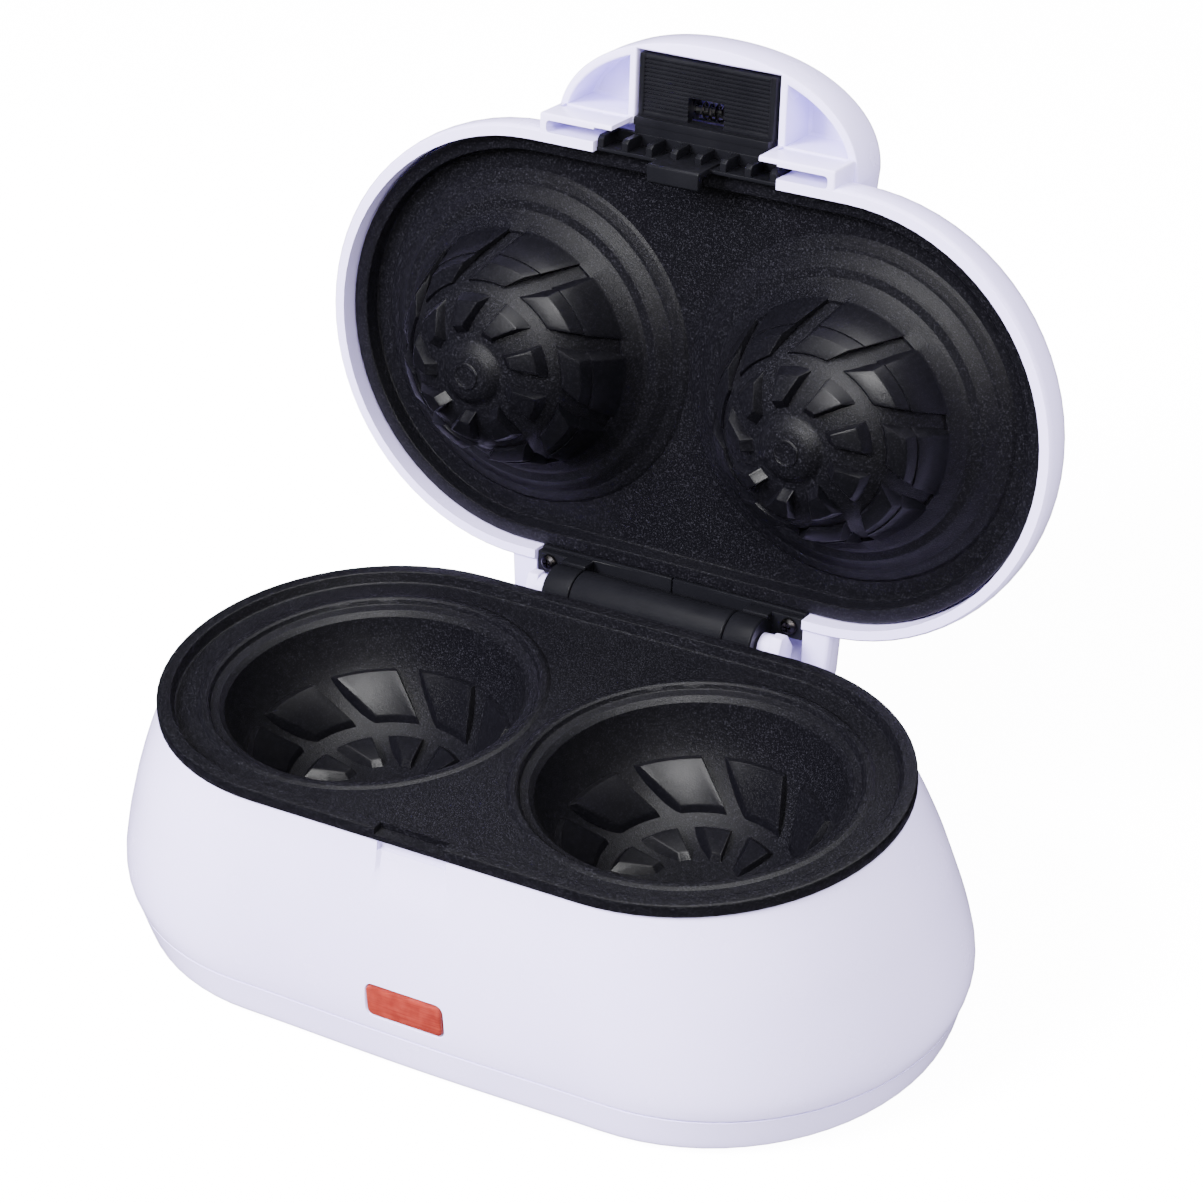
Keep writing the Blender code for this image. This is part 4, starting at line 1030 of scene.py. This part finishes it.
def pocket_outline(side, grow, steps=20):
    """Quarter-round finger pocket beside the latch bay, grown outward by an amount."""
    wall = POCKET_WALL - grow
    half = BOSS_HALF - wall
    depth = BOSS_DEPTH - wall
    back = POCKET_BACK + grow
    inner = POCKET_INNER - grow
    share = 1 - ((BOSS_ROOT_Y - back) / depth) ** BOSS_POWER
    widest = half * share ** (1 / BOSS_POWER)
    outline = [(side * inner, back)]
    for i in range(steps + 1):
        x = inner + (widest - inner) * (1 - i / steps)
        outline.append((side * x, boss_curve(half, depth, x)))
    return outline


def flared_cutter(name, outline_of, reach):
    """Cutter into the boss whose outline widens at the mouth, to round its edge."""
    levels = [(BOSS_UNDERSIDE - reach, MOUTH_ROUND)]
    for step in range(5):
        angle = math.pi / 2 * step / 4
        levels.append((BOSS_UNDERSIDE - MOUTH_OFFSET + MOUTH_ROUND * (1 - math.cos(angle)),
                       MOUTH_ROUND * (1 - math.sin(angle))))
    levels += [(POCKET_TOP - 1.2, -0.15), (POCKET_TOP, -1.0)]
    return loft(name, [[(x, y, z) for x, y in outline_of(grow)] for z, grow in levels], TO_LID)


def bay_outline(grow):
    """Rectangle of the latch bay, grown outward by an amount."""
    half = BAY_HALF + grow
    front = BAY_FRONT - grow
    back = BAY_BACK + grow
    return [(-half, front), (half, front), (half, back), (-half, back)]


def make_lid_cover():
    """White lid cover: crowned shell, handle boss, latch bay and hinge hood."""
    side = smooth_curve(LID_SIDE, 4)
    outer = [oval(grown(side[0][1:], -EDGE_INSET), side[0][0])]
    outer += [oval((length, width), z) for z, length, width in side[1:]]
    outer.append(oval(CREST_HALF, CREST_Z))
    cover = loft("lid_shell", outer, TO_LID)
    boss = loft("handle_boss", [boss_ring(*ring) for ring in BOSS_RINGS], TO_LID)
    slot_frame = bar("slot_frame", TO_LID, *SLOT_FRAME)
    hood = loft("hinge_hood", [[(-a, *front), (a, *front), (b, *back), (-b, *back)]
                               for (a, *front), (b, *back) in HOOD_RINGS], TO_LID)
    join(cover, boss, slot_frame, rounded(hood, 2.2, 4))
    hollow = [oval(LID_LIP_INNER, z) for z in HOLLOW_Z]
    hollow += [oval(grown((length, width), -WALL), z - WALL * 0.6)
               for z, length, width in side[CROWN_FROM:]]
    cut(cover, loft("lid_hollow", hollow, TO_LID))
    pockets = [flared_cutter("pocket", lambda grow, end=end: pocket_outline(end, grow), 4.0)
               for end in (-1, 1)]
    bay = flared_cutter("bay", bay_outline, 14.0)
    openings = [bar(name, TO_LID, *shape) for name, shape in LID_OPENINGS.items()]
    pin_hole = rod("pin_hole", LATCH_BORE, -28.2, 28.2, LATCH_AXIS, TO_LID, "X", 32)
    cut(cover, *pockets, bay, *openings, pin_hole)
    finish_piece(cover, "lid", "white_plastic", "lid_cover")


# ---- Latch ----

GRIP_HALF = 24.6
GRIP_FRONT = ((-103.0, 104.0), (-103.0, 101.3), (-102.7, 100.9))
GRIP_BACK = ((-83.6, 100.6), (-82.1, 100.6), (-82.1, 104.0))
RIBS = 13
RIB_START = -102.4
RIB_END = -84.2
RIB_FACE = 100.55
RIB_FLOOR = 101.05
FINS = 8
FIN_REACH = 31.3     # middle of the outermost fin
FIN_HALF = 1.15
FIN_OUTLINE = ((-73.0, 88.4), (-76.2, 88.4), (-77.3, 89.8), (-77.3, 98.2), (-73.0, 98.2))
HOOK_REACH = 9.3
HOOK_OUTLINE = ((-72.0, 98.0), (-74.2, 98.0), (-74.2, 80.6), (-73.6, 80.0), (-68.6, 80.0),
                (-67.6, 81.4), (-68.0, 82.9), (-72.0, 82.9))
HUB_RADIUS = 3.3
HUB_HALF = 23.7

# Blocks across the middle: half-length, two corners as (y, z), edge radius
GRIP_WALL = (24.5, (-82.8, 97.4), (-80.0, 103.9), 0.3)
COMB_BACK = (32.6, (-77.5, 97.3), (-72.2, 99.3), 0.3)
COMB_FLOOR = (32.5, (-73.5, 88.0), (-72.3, 98.3), 0.3)
BRIDGE = (23.9, (-81.5, 97.5), (-76.0, 99.1), 0.2)
SPRING_GAP = (6.5, (-91.2, 96.0), (-82.9, 112.0), 0.4)

# Blocks at either end: two corners on the +X side, edge radius
GRIP_BORDER = ((22.6, -103.1, 100.35), (24.7, -82.0, 103.5), 0.5)
CHEEK = ((21.5, -89.3, 103.0), (23.6, -82.9, 107.0), 0.2)


def make_latch():
    """Latch lever: ribbed grip, comb of fins and hook."""
    outline = list(GRIP_FRONT)
    pitch = (RIB_END - RIB_START) / RIBS
    for i in range(RIBS):
        y = RIB_START + i * pitch
        outline += [(y + 0.18 * pitch, RIB_FACE), (y + 0.50 * pitch, RIB_FACE),
                    (y + 0.64 * pitch, RIB_FLOOR), (y + 0.90 * pitch, RIB_FLOOR)]
    outline += GRIP_BACK
    grip = prism("latch_body", outline, -GRIP_HALF, GRIP_HALF, TO_LID, angle=24)
    join(grip, *(side_block("border", TO_LID, end, *GRIP_BORDER) for end in (-1, 1)))
    join(grip, bar("latch_wall", TO_LID, *GRIP_WALL))
    comb = bar("comb_back", TO_LID, *COMB_BACK)
    join(comb, bar("comb_floor", TO_LID, *COMB_FLOOR))
    for i in range(FINS):
        x = FIN_REACH * (2 * i / (FINS - 1) - 1)
        fin = prism("fin", FIN_OUTLINE, x - FIN_HALF, x + FIN_HALF, TO_LID)
        join(comb, rounded(fin, 0.3))
    hook = prism("hook", HOOK_OUTLINE, -HOOK_REACH, HOOK_REACH, TO_LID)
    join(comb, rounded(hook, 0.35))
    bridge = bar("bridge", TO_LID, *BRIDGE)
    hub = rod("hub", HUB_RADIUS, -HUB_HALF, HUB_HALF, LATCH_AXIS, TO_LID, "X", 40, chamfer=0.3)
    join(grip, bridge, comb, hub)
    for end in (-1, 1):
        join(grip, side_block("cheek", TO_LID, end, *CHEEK))
    cut(grip, bar("spring_gap", TO_LID, *SPRING_GAP))
    cut(grip, rod("latch_bore", LATCH_BORE, -30.0, 30.0, LATCH_AXIS, TO_LID, "X", 32))
    finish_piece(grip, "latch", "black_plastic", "latch_lever")


# ---- Small fittings ----

def make_lens():
    """Indicator lens with a crowned face."""
    face = lens_low.y
    steps = ((lens_high.y, 0.0), (face + 0.8, 0.0), (face + 0.35, 0.15), (face + 0.1, 0.45),
             (face, 1.0))
    rings = [lens_ring(y, -inward, LENS_CORNER - inward * 0.5) for y, inward in steps]
    lens = loft("lens", rings, TO_BASE)
    finish_piece(lens, "base", "lens_red", "indicator_lens")


def make_gland():
    """Cable gland with a flange and a ribbed strain relief."""
    outline = list(GLAND_FLANGE)
    for i in range(GLAND_RIBS):
        y = GLAND_RIB_Y + i * GLAND_RIB_PITCH
        r = GLAND_RIB_RADIUS - i * GLAND_RIB_TAPER
        outline += [(r, y), (r, y + 1.2), (r - 0.7, y + 1.5), (r - 0.7, y + 2.1)]
    outline += GLAND_TIP
    gland = turned("gland", outline, TO_BASE, GLAND_CENTRE, axis="Y", steps=48, closed_loop=True)
    finish_piece(gland, "base", "black_plastic", "cable_gland")


def paint_cad_nodes():
    """Give every CAD node that stays in view the material of its slot."""
    for part in frame["record"]["subparts"]:
        obj = frame["nodes"][part["node"]]
        if not obj.hide_render:
            obj.data.materials.clear()
            obj.data.materials.append(SLOT_MATERIAL[part["material_slot"]])


# ---- Stage ----

CAMERA_SPOT = (534.74, -807.78, 737.12)
CAMERA_TURN = (57.92942, 2.77334, 30.26905)     # degrees about X, Y and Z
CAMERA_LENS = 110.44
CAMERA_SENSOR = 36.0
CAMERA_FAR = 20.0     # metres
FLOOR_HALF = 4.0     # metres
FLOOR_GLOW = 12.0     # the floor shows white to the camera and lights nothing
SKY_STRENGTH = 2.2
LIGHT_TARGET = (0.0, 0.02, 0.12)

# Name, location and size in metres, watts, seen in reflections, seen by dull surfaces
LIGHTS = (
    ("key_left", (-0.75, -1.15, 1.25), (0.8, 0.8), 150.0, False, True),
    ("glint_right", (0.62, -0.80, 1.20), (0.40, 0.40), 20.0, True, True),
    ("top_back", (0.4, 0.7, 1.5), (1.0, 0.8), 12.0, True, True),
    ("edge_panel", (0.3, -0.4, 1.7), (1.6, 1.4), 42.0, True, False),
)


def emitter(name, location, size, power, gloss, diffuse):
    """Soft rectangular light aimed at the object, for reflections, for dull surfaces or both."""
    data = bpy.data.lights.new(name, "AREA")
    data.shape = "RECTANGLE"
    data.size, data.size_y = size
    data.energy = power
    made = bpy.data.objects.new(name, data)
    made.location = location
    made.visible_glossy = gloss
    made.visible_diffuse = diffuse
    aim = Vector(LIGHT_TARGET) - Vector(location)
    made.rotation_euler = aim.to_track_quat("-Z", "Y").to_euler()
    bpy.context.scene.collection.objects.link(made)


def make_stage():
    """Pale floor, studio sky and lights."""
    work = bmesh.new()
    bmesh.ops.create_grid(work, x_segments=1, y_segments=1, size=FLOOR_HALF)
    floor = to_object("floor", work, Matrix.Identity(4))
    made, shader, where = new_material("floor_white", (0.93, 0.93, 0.94), 0.6, {
        "Emission Color": (1.0, 1.0, 1.0, 1.0), "Emission Strength": FLOOR_GLOW})
    drive(shader, colour_mix(noise(where, 3.0, 2.0), (0.92, 0.92, 0.935), (0.94, 0.94, 0.945)))
    floor.data.materials.append(made)
    floor.visible_glossy = False
    floor.visible_diffuse = False
    floor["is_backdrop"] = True
    world = bpy.data.worlds.new("studio")
    bpy.context.scene.world = world
    world.use_nodes = True
    sky = world.node_tree.nodes["Background"]
    sky.inputs["Color"].default_value = (1.0, 1.0, 1.0, 1.0)
    sky.inputs["Strength"].default_value = SKY_STRENGTH
    world.cycles_visibility.glossy = False
    for light in LIGHTS:
        emitter(*light)


def make_camera():
    """Camera at the viewing angle of the catalogue picture."""
    data = bpy.data.cameras.new("camera")
    data.lens = CAMERA_LENS
    data.sensor_width = CAMERA_SENSOR
    data.clip_end = CAMERA_FAR
    made = bpy.data.objects.new("camera", data)
    made.location = TO_BASE @ Vector(CAMERA_SPOT)
    made.rotation_euler = [math.radians(turn) for turn in CAMERA_TURN]
    bpy.context.scene.collection.objects.link(made)
    bpy.context.scene.camera = made


make_camera()
make_stage()
make_housing()
make_tray()
make_feet()
make_lower_plate()
make_upper_plate()
make_hinge()
make_lid_cover()
make_latch()
make_lens()
make_gland()
paint_cad_nodes()

low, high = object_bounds()
